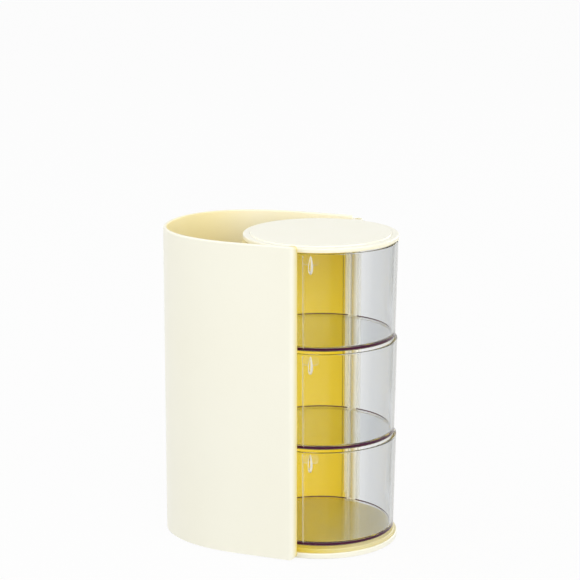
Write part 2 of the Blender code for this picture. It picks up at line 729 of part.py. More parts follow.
def build():
    clear_scene()
    stack = axis("stack_axis", (STACK_X, 0, 0))
    roof_axis = axis("roof_axis", (*ROOF_CENTRE, 0), stack)
    pivot = axis("pivot_axis", (*PIVOT, 0), stack)
    cream = (0.93, 0.88, 0.70)
    body = [make_shell(stack), make_partition(stack), make_base(stack), make_roof(stack)]
    paint(body + [make_cap(roof_axis)], "cream_plastic", cream, 0.35)
    drawers = [make_drawer(name, foot, pivot) for name, foot in zip(DRAWER_NAMES, DRAWER_FEET)]
    paint(drawers, "clear_plastic", (0.86, 0.88, 0.90), 0.05, transmission=0.9)
    paint(make_washers(pivot), "nylon", (0.85, 0.85, 0.82), 0.5)
    paint([make_rod(pivot), make_plug(pivot)], "cream_plastic", cream, 0.4)
    screws = make_screws("shell", shell_screw_places(), stack)
    screws += make_screws("partition", partition_screw_places(), stack)
    paint(screws, "steel", (0.45, 0.45, 0.46), 0.35, metallic=1.0)
    paint(make_feet(stack), "rubber", (0.80, 0.80, 0.78), 0.8)


build()
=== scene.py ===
"""Looks of an organizer for hair accessories: an oval cream shell with a bay, and three clear drawers.

Lengths are in metres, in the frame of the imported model. Outlines are drawn about the drawer stack's axis.
"""

from math import acos, asin, atan2, cos, degrees, hypot, pi, radians, sin, sqrt

import bmesh
import bpy
from mathutils import Matrix, Vector


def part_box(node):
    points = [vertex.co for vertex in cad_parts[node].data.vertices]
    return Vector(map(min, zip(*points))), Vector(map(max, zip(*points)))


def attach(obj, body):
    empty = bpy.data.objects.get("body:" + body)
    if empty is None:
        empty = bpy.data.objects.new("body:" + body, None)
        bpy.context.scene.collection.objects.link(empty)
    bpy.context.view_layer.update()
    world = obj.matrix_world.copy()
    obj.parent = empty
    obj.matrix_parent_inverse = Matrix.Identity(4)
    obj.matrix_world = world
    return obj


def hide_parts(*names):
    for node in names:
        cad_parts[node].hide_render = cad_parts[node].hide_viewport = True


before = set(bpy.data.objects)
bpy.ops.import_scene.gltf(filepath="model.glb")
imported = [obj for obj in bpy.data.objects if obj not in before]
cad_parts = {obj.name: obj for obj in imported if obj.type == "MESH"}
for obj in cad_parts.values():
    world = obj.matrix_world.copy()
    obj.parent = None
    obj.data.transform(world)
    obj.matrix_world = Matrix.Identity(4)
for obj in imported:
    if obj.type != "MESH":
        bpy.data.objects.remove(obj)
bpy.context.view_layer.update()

MM = 0.001

# Fits and walls
CLEARANCE = 0.3 * MM
WALL = 2.4 * MM
OVERRUN = 2.0 * MM
SEAM = 1.0 * MM

# Drawers
DRAWERS = {"drawer_bottom": "bottom_drawer", "drawer_middle": "middle_drawer", "drawer_top": "top_drawer"}
DRAWER_RIM_RADIUS = 50.2 * MM
DRAWER_DRAFT = 1.4 * MM
DRAWER_WALL = 2.2 * MM
DRAWER_FLOOR = 2.4 * MM
DRAWER_FOOT_ROUND = 0.9 * MM
DRAWER_INNER_ROUND = 1.0 * MM
DRAWER_RIM_ROUND = 0.6 * MM
SWING_GAP = 0.8 * MM
EAR_SETBACK = 0.4 * MM
EAR_RADIUS = 3.6 * MM
BORE_RADIUS = 2.5 * MM
ROD_RADIUS = 2.2 * MM

# Finger grip on each drawer
GRIP_BEARING = -77.6
GRIP_HEIGHT = 12.5 * MM
GRIP_WIDTH = 3.0 * MM
GRIP_REACH = 4.4 * MM
GRIP_DROP = 0.9 * MM
GRIP_WIDEST_SHARE = 0.36
GRIP_POINT_POWER = 0.7  # below 1 keeps it wide until close to its point
GRIP_SIDE_POWER = 0.6  # below 1 makes its section squarer than an ellipse
TAB_WIDTH = 10.6 * MM
TAB_HEIGHT = 6.2 * MM
TAB_RISE = 0.45 * MM
TAB_ROUND = 2.2 * MM
MOULD_LINE_BEARING = -83.2
MOULD_LINE_WIDTH = 1.3 * MM
MOULD_LINE_RISE = 0.35 * MM
MOULD_LINE_PROFILE = ((-0.5, 0), (-0.3, 0.7), (0, 1), (0.3, 0.7), (0.5, 0))  # shares of its width and rise

# Roof, cap and base
ROOF_SHIFT = 1.2 * MM
ROOF_RADIUS = 51.6 * MM
FLANGE_RADIUS = 52.4 * MM
PLINTH_RADIUS = 49.6 * MM
EDGE_ROUND = 0.7 * MM
CAP_RADIUS = 46.7 * MM
CAP_ROUND = 0.8 * MM
CAP_CLOSING = 0.2 * MM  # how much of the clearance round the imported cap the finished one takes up
SHELF_THICKNESS = 1.3 * MM
CAP_PEG_RADIUS = 1.5 * MM
CAP_PEG_SETBACK = 9.0 * MM
CAP_PEG_BEARINGS = (30, 150, 270)
FLANGE_THICKNESS = 3.6 * MM
BASE_INSET = WALL + CLEARANCE
PIVOT_BOSS_RADIUS = 2.9 * MM
ROD_SOCKET_FLOOR = 1.2 * MM

# Partition
PARTITION_INNER = DRAWER_RIM_RADIUS + SWING_GAP
PARTITION_WALL = 1.8 * MM
PARTITION_OUTER = PARTITION_INNER + PARTITION_WALL
TAB_SETBACK = 4.0 * MM
GROOVE_WIDTH = 0.6 * MM
GROOVE_DEPTH = 0.9 * MM
GROOVE_SIDES = (1.2, 1.0, 0.4, 0.2)  # corners of its section, in widths from the back tab
RIB_WIDTH = 1.3 * MM
RIB_DROP = 12.0 * MM
LUG_BEARINGS = (150, 180, 210)
LUG_HALF_ANGLE = 4
LUG_THICKNESS = 0.8 * MM
LUG_HEIGHT = 2.0 * MM
LUG_INSET = 0.2 * MM

# Outer shell
ROUND_END_START = 36.3 * MM
ROUND_END_POWER = 2.22
FRONT_END_X = 3.2 * MM
LIP_THICKNESS = 6.0 * MM
LIP_LENGTH = 4.1 * MM
LIP_SLOPE = 0.6 * MM
FRONT_NOSE = 4.0 * MM
BACK_NOSE = 1.2 * MM
INNER_NOSE = 0.8 * MM
TOP_CORNER = 2.0 * MM
FOOT_CORNER = 3.4 * MM
RIM_ROUND = 0.9 * MM
RIM_LIMIT_SHARE = 0.45
POST_GAP = 0.5 * MM
FLOOR_FILLET = 3.0 * MM

# Screws, bosses and feet
BOSS_RADIUS = 3.5 * MM
BOSS_HEIGHT = 7.5 * MM
BOSS_HOLE_CAP = 0.8 * MM
SCREW_RADIUS = 1.3 * MM
SCREW_TIP = 1.0 * MM
HEAD_RADIUS = 2.8 * MM
HEAD_HEIGHT = 1.6 * MM
HEAD_ROUND = 0.5 * MM
CROSS_REACH = 1.5 * MM
CROSS_WIDTH = 0.7 * MM
CROSS_DEPTH = 1.0 * MM
THREAD_PITCH = 1.1 * MM
THREAD_DEPTH = 0.28 * MM
THREAD_ROOT_END = 0.4  # shares of the pitch at which a ring starts to rise and is at its highest
THREAD_CREST = 0.7
SHELL_SCREW_SETBACK = 25.0 * MM
SHELL_SCREW_BEARINGS = (148, 180, 212)
PARTITION_SCREW_BEARINGS = (130, 230)
FOOT_RADIUS = 5.0 * MM
FOOT_HEIGHT = 1.6 * MM
FOOT_PROUD = 1.0 * MM
FOOT_ROUND = 0.4 * MM

# Fineness of the meshes
END_STEPS = 180
ARC_STEPS = 160
TURN_STEPS = 192
SMALL_TURN_STEPS = 40
EAR_STEPS = 24
NOSE_STEPS = 14
GRIP_STEPS = 40
GRIP_SIDE_STEPS = 8
GROOVE_STEPS = 2
ROUND_STEPS = 6
SMOOTH_DEGREES = 32

# Colours, as linear red, green and blue
CREAM_PALE = (0.958, 0.940, 0.808)
CREAM_WARM = (0.950, 0.928, 0.785)
# painted golden shade, for light bounced between the cream walls in the hollows
CREAM_GOLDEN_SHADE = (0.955, 0.735, 0.035)
# painted dark shade
CREAM_SHADE = (0.500, 0.420, 0.080)
CLEAR_FACING = (0.935, 0.940, 0.940)
CLEAR_GRAZING_SHADE = (0.770, 0.785, 0.800)
CLEAR_EDGE_SHADE = (0.360, 0.360, 0.310)
CLEAR_MATT = (0.960, 0.950, 0.880)
CLEAR_HIGHLIGHT = (0.970, 0.960, 0.880)
CLEAR_PASS = (0.995, 0.995, 0.995, 1)
PLUM_SHADE = (0.060, 0.008, 0.035)
STEEL = (0.56, 0.56, 0.57)
STEEL_DARK = (0.38, 0.38, 0.39)
NYLON = (0.80, 0.80, 0.76)
NYLON_WARM = (0.72, 0.70, 0.64)
RUBBER = (0.62, 0.62, 0.60)
RUBBER_WORN = (0.50, 0.50, 0.48)
FLOOR_WHITE = (0.65, 0.65, 0.65)
FLOOR_DIM = (0.30, 0.30, 0.30)
WHITE = (1, 1, 1, 1)

# Noises: octaves of detail, and the values that most of a noise lies between
SOFT_DETAIL = 2
GRAIN_DETAIL = 3
FINE_DETAIL = 4
NOISE_RANGE = (0.3, 0.7)

# Cream plastic, with its noises in waves per metre
CREAM_DRIFT = 14
CREAM_PATCHES = 60
CREAM_ROUGHNESS = (0.29, 0.37)
CREAM_BUMPS = ((110, 0.006 * MM), (2600, 0.0006 * MM))  # waves per metre and depth
CREAM_IOR = 1.5
CREAM_COAT = 0.12
CREAM_COAT_ROUGHNESS = 0.12

# Painted shade: golden shade, how far the cream turns to the golden colour of light bounced in its hollows,
# and shade, how far that turns to the dark shade's colour
INWARD_DEPTHS = (0.9 * MM, 2.3 * MM)  # into the shell's wall, where the bay's painted golden shade sets in
BAY_GOLDEN_SHADE = 0.12
BAY_GOLDEN_SHADE_BELOW = 0.10
BAY_GOLDEN_SHADE_DROP = 60 * MM
END_GOLDEN_SHADE = 0.36
END_GOLDEN_SHADE_START = 0.4  # share of the rounded end's reach
BACK_STRIP_GOLDEN_SHADE = 0.06
LIP_MARGIN = 0.05 * MM
LIP_GOLDEN_SHADE = 0.85
LIP_GOLDEN_SHADE_DEPTHS = (0.2 * MM, 6.2 * MM)
LIP_SHADE = 0.15
LIP_SHADE_DEPTHS = (0.5 * MM, 2.0 * MM)
PARTITION_BACK_GOLDEN_SHADE = 0.35
GROOVE_MARGIN = 0.1 * MM
BASE_SHADE = 0.5
BASE_SHADE_DROPS = (0.9 * MM, 0.2 * MM)
BASE_SHADE_INSETS = (0.3 * MM, 1.0 * MM)
BASE_GOLDEN_SHADE = 0.95
BASE_GOLDEN_SHADE_FADE = 0.72
BASE_GOLDEN_SHADE_PLACES = (2 * MM, 42 * MM)
ROOF_GOLDEN_SHADE = 0.2
ROOF_GOLDEN_SHADE_DROPS = (1.0 * MM, 2.8 * MM)
PLUG_GOLDEN_SHADE = 0.5
PLUG_SHADE = 0.6

# Clear plastic: a slant is 0 where it faces the view and 1 edge-on, and a pass is a share of the light
CLEAR_WALL_INSETS = (3.3 * MM, 3.0 * MM)  # from the rim's radius, where the wall begins
BAND_LOW = (0.5 * MM, 0.8 * MM)  # heights over the foot where the painted plum line of the floor's edge sets in
BAND_HIGH = (2.3 * MM, 2.6 * MM)
BAND_INSETS = (1.1 * MM, 0.9 * MM)
BAND_PASS = 0.1
EAR_MARGINS = (0.7 * MM, 1.3 * MM)
EAR_PASS = 0.05
EAR_ROUGHNESS = (0.3, 0.3, 0.3)
# slants where the painted grey and the painted dark edge set in
GRAZING_SLANTS = (0.08, 0.30)
EDGE_SLANTS = (0.62, 0.80)
HIGHLIGHT_RISES = (0.08 * MM, 0.2 * MM)  # off the plain wall
HIGHLIGHT_SLANTS = (0.03, 0.22)
HIGHLIGHT_PASS = 0.35
CLEAR_PATCHES = 45
CLEAR_ROUGHNESS = (0.0, 0.035)
CLEAR_WAVES = 28
CLEAR_WAVE_DEPTH = 0.01 * MM
CLEAR_IOR = 1.4
CLEAR_GLOSS = (0.3, 0.3, 0.3, 1)
SMOKE = (0.78, 0.80, 0.84, 1)
SMOKE_DENSITY = 14

# Plain finishes: waves per metre of their colours, and how much finer their roughness and grain are
NYLON_ROUGHNESS = (0.35, 0.5)
STEEL_ROUGHNESS = (0.22, 0.4)
RUBBER_ROUGHNESS = (0.7, 0.85)
SMALL_WAVES = 90
STEEL_WAVES = 120
PATCH_FINENESS = 4
GRAIN_FINENESS = 20
GRAIN_DEPTH = 0.02 * MM

# Stage and light
FLOOR_SIZE = 9.0
FLOOR_SEGMENTS = 8
FLOOR_GLOW = 0.95  # the rest of the floor's look is left to its shadow
FLOOR_ROUGHNESS = 0.7
SEEN_RAYS = ("Is Camera Ray", "Is Glossy Ray", "Is Transmission Ray")
WORLD_LIGHT = 0.5
LAMP_TARGET = (0, 0, 0.1)
LAMPS = {  # place, width and height, power
    "key": ((2.05, -0.75, 0.8), (1.8, 1.6), 21.7),
    "front": ((1.1, -1.8, 0.95), (1.7, 1.7), 14.6),
    "top": ((0.1, -0.8, 2.0), (1.4, 1.4), 2.2),
    "fill": ((-1.7, -1.0, 1.15), (2.8, 2.0), 29),
    "back": ((0.9, 1.9, 0.45), (1.4, 0.8), 9),
}
BOUNCES = 24
DIFFUSE_BOUNCES = 8

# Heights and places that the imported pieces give
shell_low, shell_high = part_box("outer_shell")
base_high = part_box("base_plate")[1]
roof_low, roof_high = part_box("bay_roof")
cap_low, cap_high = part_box("roof_cap")
rod_low, rod_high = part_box("pivot_rod")
plug_low, plug_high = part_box("pivot_plug")
HALF_WIDTH = shell_high.y
SHELL_INNER_HALF = HALF_WIDTH - WALL
SHELL_TOP = shell_high.z
UNDERSIDE = shell_low.z
STACK_X = (cap_low.x + cap_high.x) / 2 + ROOF_SHIFT
ROUND_END_REACH = STACK_X - ROUND_END_START - shell_low.x
PIVOT = ((rod_low.x + rod_high.x) / 2 - STACK_X, (rod_low.y + rod_high.y) / 2)
ROOF_CENTRE = (-ROOF_SHIFT, 0)
BASE_TOP = UNDERSIDE + FLANGE_THICKNESS
BACK_END_X = PIVOT[0] - EAR_RADIUS - POST_GAP
LIP_X = FRONT_END_X - LIP_LENGTH - LIP_SLOPE
FRONT_TAB_X = LIP_X - CLEARANCE
BACK_TAB_X = BACK_END_X - TAB_SETBACK
FRONT_RIB_X = FRONT_TAB_X - PARTITION_WALL - CLEARANCE
BACK_RIB_X = BACK_TAB_X - PARTITION_WALL - CLEARANCE
BOSS_FOOT = BASE_TOP + CLEARANCE
FLOOR_UNDERSIDE = BOSS_FOOT + BOSS_HEIGHT
FLOOR_TOP = FLOOR_UNDERSIDE + WALL
HEAD_SEAT = UNDERSIDE + CLEARANCE + HEAD_HEIGHT

# Camera, found by matching the photograph's outlines
CAMERA_FROM_STACK = (0.4803, -1.2568, 0.4808)
CAMERA_TURN = (77.027, 0.0, 21.83)
CAMERA_LENS = 128.9


def polar(radius, bearing):
    return radius * cos(radians(bearing)), radius * sin(radians(bearing))


def arc(radius, start, end, steps, centre=(0, 0)):
    """Points on an arc about centre, from one bearing to another."""
    bearings = [start + (end - start) * step / steps for step in range(steps + 1)]
    return [(centre[0] + x, centre[1] + y) for x, y in (polar(radius, bearing) for bearing in bearings)]


def quarter(steps):
    """Angles of a quarter turn."""
    return [pi / 2 * step / steps for step in range(steps + 1)]


def rounded_edge(size):
    """Points round an edge from its side to its top, as how far back and how far down they lie."""
    return [(size * (1 - cos(turn)), size * (1 - sin(turn))) for turn in quarter(ROUND_STEPS)]


def finished(shape):
    bmesh.ops.recalc_face_normals(shape, faces=shape.faces)
    mesh = bpy.data.meshes.new("shape")
    shape.to_mesh(mesh)
    shape.free()
    return mesh


def loft(rings):
    """Closed mesh through rings with the same number of points, capped flat at the first and the last."""
    shape = bmesh.new()
    rows = [[shape.verts.new(point) for point in ring] for ring in rings]
    for lower, upper in zip(rows, rows[1:]):
        for index in range(len(lower)):
            after = (index + 1) % len(lower)
            shape.faces.new((lower[index], lower[after], upper[after], upper[index]))
    shape.faces.new(rows[0][::-1])
    shape.faces.new(rows[-1])
    return finished(shape)


def turned(profile, steps=TURN_STEPS):
    """Closed mesh turned about +Z, from (radius, height) points that end on the axis or form a ring."""
    shape = bmesh.new()
    turns = [2 * pi * step / steps for step in range(steps)]
    rows = []
    for radius, height in profile:
        spots = turns if radius else turns[:1]
        rows.append([shape.verts.new((radius * cos(turn), radius * sin(turn), height)) for turn in spots])
    if profile[0][0]:
        rows.append(rows[0])
    for lower, upper in zip(rows, rows[1:]):
        for index in range(steps):
            after = index + 1
            corners = (
                lower[index % len(lower)],
                lower[after % len(lower)],
                upper[after % len(upper)],
                upper[index % len(upper)],
            )
            shape.faces.new(dict.fromkeys(corners))
    return finished(shape)


def inset(outline, distance):
    """The same outline, counter-clockwise, moved inwards by distance."""
    moved = []
    for index, (x, y) in enumerate(outline):
        before = outline[index - 1]
        after = outline[(index + 1) % len(outline)]
        sides = []
        for start, end in ((before, (x, y)), ((x, y), after)):
            length = hypot(end[0] - start[0], end[1] - start[1])
            sides.append(((start[1] - end[1]) / length, (end[0] - start[0]) / length))
        across = (sides[0][0] + sides[1][0], sides[0][1] + sides[1][1])
        scale = 2 * distance / (across[0] ** 2 + across[1] ** 2)
        moved.append((x + across[0] * scale, y + across[1] * scale))
    return moved


def plate(outline, bottom, top, rounding=0, under=0):
    """Solid over a counter-clockwise outline, with its upper and lower edges rounded."""
    rings = []
    if under:
        for back, drop in rounded_edge(under):
            rings.append([(x, y, bottom + back) for x, y in inset(outline, drop)])
    else:
        rings.append([(x, y, bottom) for x, y in outline])
    if rounding:
        for back, drop in rounded_edge(rounding):
            rings.append([(x, y, top - drop) for x, y in inset(outline, back)])
    else:
        rings.append([(x, y, top) for x, y in outline])
    return loft(rings)


def cylinder(radius, bottom, top, steps=SMALL_TURN_STEPS):
    return turned([(0, bottom), (radius, bottom), (radius, top), (0, top)], steps)


def box(low, high):
    corners = [(low[0], low[1]), (high[0], low[1]), (high[0], high[1]), (low[0], high[1])]
    return plate(corners, low[2], high[2])


def copies(mesh, places):
    """One mesh that holds a copy of another at each place."""
    shape = bmesh.new()
    for x, y in places:
        copy = mesh.copy()
        copy.transform(Matrix.Translation((x, y, 0)))
        shape.from_mesh(copy)
    return finished(shape)


def together(meshes):
    """One mesh that holds several, which stay separate bodies."""
    shape = bmesh.new()
    for mesh in meshes:
        shape.from_mesh(mesh)
    return finished(shape)


def shaped(name, mesh, changes=()):
    """Object made of a mesh and of the shapes that are joined to it or cut out of it."""
    thing = bpy.data.objects.new(name, mesh)
    bpy.context.scene.collection.objects.link(thing)
    helpers = []
    for number, (operation, other) in enumerate(changes):
        helper = bpy.data.objects.new(f"{name}_helper_{number}", other)
        bpy.context.scene.collection.objects.link(helper)
        modifier = thing.modifiers.new(f"change_{number}", "BOOLEAN")
        modifier.operation = operation
        modifier.solver = "EXACT"
        modifier.object = helper
        helpers.append(helper)
    apply_modifiers(thing)
    for helper in helpers:
        bpy.data.objects.remove(helper)
    thing.data.name = name
    thing.data.transform(Matrix.Translation((STACK_X, 0, 0)))
    thing.data.shade_smooth()
    thing.data.set_sharp_from_angle(angle=radians(SMOOTH_DEGREES))
    weighted = thing.modifiers.new("weighted", "WEIGHTED_NORMAL")
    weighted.keep_sharp = True
    apply_modifiers(thing)
    return thing


def apply_modifiers(thing):
    evaluated = thing.evaluated_get(bpy.context.evaluated_depsgraph_get())
    result = bpy.data.meshes.new_from_object(evaluated)
    thing.modifiers.clear()
    thing.data = result


def placed(thing, body, slot, *nodes):
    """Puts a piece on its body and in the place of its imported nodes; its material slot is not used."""
    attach(thing, body)
    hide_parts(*nodes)
    return thing


def front_wall(x):
    """Place on the shell's front wall, as a function of the depth in from its outer face."""
    return lambda depth: (x, depth - HALF_WIDTH)


def back_wall(x):
    return lambda depth: (x, HALF_WIDTH - depth)


def round_end(turn):
    """Place on the rounded end, which turns from the front wall at 0 to the back wall at pi."""

    def place(depth):
        power = 2 / ROUND_END_POWER
        side = 1 if turn > pi / 2 else -1
        x = -ROUND_END_START - (ROUND_END_REACH - depth) * abs(sin(turn)) ** power
        return x, side * (HALF_WIDTH - depth) * abs(cos(turn)) ** power

    return place


def end_turns():
    return [pi * step / END_STEPS for step in range(END_STEPS + 1)]


def wall_places(front_x, back_x):
    """Places along the shell's wall, from the front wall round to the back wall."""
    return [front_wall(front_x)] + [round_end(turn) for turn in end_turns()] + [back_wall(back_x)]


def shell_path(front_x, back_x, depth):
    """The shell's outline at a depth in from its outer face."""
    return [place(depth) for place in wall_places(front_x, back_x)]


def corner(distance, radius):
    """How far a rounded corner stands back, at a distance from the end that it rounds."""
    return radius - sqrt(radius**2 - (radius - distance) ** 2) if distance < radius else 0.0


def shell_section(place, outer, inner, low, high):
    """Loop across the shell's wall: up its outer face, over the rounded rim and down its inner face."""
    edge = rounded_edge(min(RIM_ROUND, RIM_LIMIT_SHARE * (inner - outer)))
    profile = [(outer, low)]
    profile += [(outer + back, high - drop) for back, drop in edge]
    profile += [(inner - back, high - drop) for back, drop in reversed(edge)]
    profile += [(inner, low)]
    return [(*place(depth), height) for depth, height in profile]


def nose_section(place, distance, nose, inner):
    """Section near a free end of the wall, whose edges and corners are rounded."""
    return shell_section(
        place,
        corner(distance, nose),
        inner - corner(distance, INNER_NOSE),
        UNDERSIDE + corner(distance, FOOT_CORNER),
        SHELL_TOP - corner(distance, TOP_CORNER),
    )


def nose_distances(reach):
    """Distances from a free end, close together where its rounding is steep."""
    return [reach * (1 - cos(turn)) for turn in quarter(NOSE_STEPS)]


def shell_wall():
    """The wall from its thick front lip, round the closed end, to the back wall's end beside the pivot."""
    sections = []
    for distance in nose_distances(FRONT_NOSE):
        place = front_wall(FRONT_END_X - distance)
        sections.append(nose_section(place, distance, FRONT_NOSE, LIP_THICKNESS))
    lip_root = LIP_X + LIP_SLOPE
    for step in range(ROUND_STEPS + 1):
        share = step / ROUND_STEPS
        ease = (1 + cos(pi * share)) / 2
        inner = WALL + (LIP_THICKNESS - WALL) * ease
        place = front_wall(lip_root - LIP_SLOPE * share)
        sections.append(shell_section(place, 0, inner, UNDERSIDE, SHELL_TOP))
    for turn in end_turns():
        sections.append(shell_section(round_end(turn), 0, WALL, UNDERSIDE, SHELL_TOP))
    for distance in reversed(nose_distances(FOOT_CORNER)):
        place = back_wall(BACK_END_X - distance)
        sections.append(nose_section(place, distance, BACK_NOSE, WALL))
    return loft(sections)


def bearing_at(x, radius):
    """Bearing, between 0 and 180, of the point of a circle that lies at x."""
    return degrees(acos(x / radius))


def rib_boxes():
    """Ribs inside the shell's walls that the partition's tabs stand between."""
    inner = PARTITION_OUTER + CLEARANCE
    root = SHELL_INNER_HALF + SEAM
    low = FLOOR_UNDERSIDE + SEAM
    high = SHELL_TOP - RIB_DROP
    beside = BACK_TAB_X + CLEARANCE
    return together(
        [
            box((FRONT_RIB_X - RIB_WIDTH, -root, low), (FRONT_RIB_X, -inner, high)),
            box((BACK_RIB_X - RIB_WIDTH, inner, low), (BACK_RIB_X, root, high)),
            box((beside, inner, low), (beside + RIB_WIDTH, root, high)),
        ]
    )


def bay_floor():
    """Raised floor of the open bay, from the shell's wall to the partition."""
    edge = PARTITION_OUTER + CLEARANCE
    front = FRONT_RIB_X - RIB_WIDTH / 2
    back = BACK_RIB_X - RIB_WIDTH / 2
    outer = shell_path(front, back, WALL - SEAM)
    inner = arc(edge, bearing_at(back, edge), 360 - bearing_at(front, edge), ARC_STEPS)
    return plate((outer + inner)[::-1], FLOOR_UNDERSIDE, FLOOR_TOP)


def floor_fillet():
    """Rounded inner corner between the bay's floor and the shell's wall."""
    places = wall_places(FRONT_RIB_X - RIB_WIDTH, BACK_RIB_X - RIB_WIDTH)
    profile = [(WALL - SEAM, FLOOR_TOP - SEAM), (WALL - SEAM, FLOOR_TOP + FLOOR_FILLET)]
    profile += [(WALL + back, FLOOR_TOP + drop) for back, drop in rounded_edge(FLOOR_FILLET)]
    profile.append((WALL + FLOOR_FILLET, FLOOR_TOP - SEAM))
    return loft([[(*place(depth), height) for depth, height in profile] for place in places])


def shell_screw_places():
    return [polar(PARTITION_OUTER + SHELL_SCREW_SETBACK, bearing) for bearing in SHELL_SCREW_BEARINGS]


def partition_screw_places():
    radius = PARTITION_OUTER + BOSS_RADIUS - SEAM
    return [polar(radius, bearing) for bearing in PARTITION_SCREW_BEARINGS]


def boss_holes(places):
    top = FLOOR_UNDERSIDE - BOSS_HOLE_CAP
    return copies(cylinder(SCREW_RADIUS + CLEARANCE, BOSS_FOOT - OVERRUN, top), places)


def make_shell():
    bosses = copies(cylinder(BOSS_RADIUS, BOSS_FOOT, FLOOR_UNDERSIDE + SEAM), shell_screw_places())
    changes = [
        ("UNION", bay_floor()),
        ("UNION", floor_fillet()),
        ("UNION", rib_boxes()),
        ("UNION", bosses),
        ("DIFFERENCE", boss_holes(shell_screw_places())),
    ]
    return placed(shaped("shell", shell_wall(), changes), "frame", "cream_plastic", "outer_shell")


def lug_sectors(spread, bottom, top):
    """Curved blocks along the partition's upper edge. Spread makes them larger, as pockets for the lugs."""
    inner = PARTITION_INNER + LUG_INSET - spread
    outer = PARTITION_INNER + LUG_INSET + LUG_THICKNESS + spread
    half = LUG_HALF_ANGLE + degrees(spread / inner)
    blocks = []
    for bearing in LUG_BEARINGS:
        outline = arc(outer, bearing - half, bearing + half, ROUND_STEPS)
        outline += arc(inner, bearing + half, bearing - half, ROUND_STEPS)
        blocks.append(plate(outline, bottom, top))
    return together(blocks)


def make_partition():
    """Arc of wall behind the drawers, with a tab at each end that reaches the shell."""
    reach = SHELL_INNER_HALF - CLEARANCE
    front_end = 360 - bearing_at(FRONT_TAB_X, PARTITION_INNER)
    back_end = bearing_at(BACK_TAB_X, PARTITION_INNER)
    front_root = 360 - bearing_at(FRONT_TAB_X - PARTITION_WALL, PARTITION_OUTER)
    back_root = bearing_at(BACK_TAB_X - PARTITION_WALL, PARTITION_OUTER)
    outline = arc(PARTITION_OUTER, back_root, front_root, ARC_STEPS)
    outline += [(FRONT_TAB_X - PARTITION_WALL, -reach), (FRONT_TAB_X, -reach)]
    turn = degrees(GROOVE_WIDTH / PARTITION_INNER)
    groove = [back_end + share * turn for share in GROOVE_SIDES]
    outline += arc(PARTITION_INNER, front_end, groove[0], ARC_STEPS)
    outline += arc(PARTITION_INNER + GROOVE_DEPTH, groove[1], groove[2], GROOVE_STEPS)
    outline += arc(PARTITION_INNER, groove[3], back_end, 1)
    outline += [(BACK_TAB_X, reach), (BACK_TAB_X - PARTITION_WALL, reach)]
    top = roof_low.z - CLEARANCE
    bosses = cylinder(BOSS_RADIUS, BOSS_FOOT, FLOOR_UNDERSIDE - CLEARANCE)
    changes = [
        ("UNION", lug_sectors(0, top - LUG_HEIGHT, top + LUG_HEIGHT)),
        ("UNION", copies(bosses, partition_screw_places())),
        ("DIFFERENCE", boss_holes(partition_screw_places())),
    ]
    partition = shaped("partition", plate(outline, BOSS_FOOT, top), changes)
    return placed(partition, "frame", "cream_plastic", "bay_partition")


def pivot_bearing(centre=(0, 0)):
    return degrees(atan2(PIVOT[1] - centre[1], PIVOT[0] - centre[0]))


def ear_spread(radius):
    """Half the angle that an ear's web takes of a circle with this radius."""
    return degrees(asin(EAR_RADIUS / radius))


def ear_arc(start, end):
    return arc(EAR_RADIUS, start, end, EAR_STEPS, PIVOT)


def base_outline():
    """Plate inside the shell's walls that comes out from between them as a round flange and an ear."""
    half = HALF_WIDTH - BASE_INSET
    bearing = pivot_bearing(ROOF_CENTRE)
    first = -bearing_at(FRONT_TAB_X - ROOF_CENTRE[0], FLANGE_RADIUS)
    last = bearing - ear_spread(FLANGE_RADIUS)
    meeting = degrees(acos((half - PIVOT[1]) / EAR_RADIUS))
    ear = ear_arc(bearing - 90, 90 + meeting)
    flange = arc(FLANGE_RADIUS, first, last, ARC_STEPS, ROOF_CENTRE)
    return flange + ear[:-1] + shell_path(FRONT_TAB_X, ear[-1][0], BASE_INSET)[::-1]


def screw_ways():
    """Holes through the base plate for the screws, wide enough below for their heads."""
    wide = HEAD_RADIUS + CLEARANCE
    narrow = SCREW_RADIUS + CLEARANCE
    seat = HEAD_SEAT + CLEARANCE
    low = UNDERSIDE - OVERRUN
    high = BASE_TOP + OVERRUN
    profile = [(0, low), (wide, low), (wide, seat), (narrow, seat), (narrow, high), (0, high)]
    return copies(turned(profile, SMALL_TURN_STEPS), shell_screw_places() + partition_screw_places())


def node_middle(node):
    """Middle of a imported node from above, about the stack axis."""
    low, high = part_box(node)
    return (low.x + high.x) / 2 - STACK_X, (low.y + high.y) / 2


def round_top(radius, bottom, top, rounding, steps=TURN_STEPS):
    """Disc with a rounded upper edge."""
    edge = [(radius - back, top - drop) for back, drop in rounded_edge(rounding)]
    return turned([(0, bottom), (radius, bottom)] + edge + [(0, top)], steps)


def make_base():
    middle = UNDERSIDE + FLANGE_THICKNESS / 2
    depth = FOOT_HEIGHT - FOOT_PROUD + CLEARANCE
    boss = round_top(PIVOT_BOSS_RADIUS, middle, base_high.z, CLEARANCE, SMALL_TURN_STEPS)
    socket = cylinder(BORE_RADIUS, UNDERSIDE + ROD_SOCKET_FLOOR, base_high.z + OVERRUN)
    pocket = cylinder(FOOT_RADIUS + CLEARANCE, UNDERSIDE - OVERRUN, UNDERSIDE + depth)
    changes = [
        ("UNION", round_top(PLINTH_RADIUS, middle, base_high.z, EDGE_ROUND)),
        ("UNION", copies(boss, [PIVOT])),
        ("DIFFERENCE", copies(socket, [PIVOT])),
        ("DIFFERENCE", screw_ways()),
        ("DIFFERENCE", copies(pocket, [node_middle(node) for node in nodes_with("foot_")])),
    ]
    slab = plate(base_outline(), UNDERSIDE, BASE_TOP, EDGE_ROUND, CLEARANCE)
    return placed(shaped("base", slab, changes), "frame", "cream_plastic", "base_plate")


def cap_peg_places():
    return [polar(CAP_RADIUS - CAP_PEG_SETBACK, bearing) for bearing in CAP_PEG_BEARINGS]


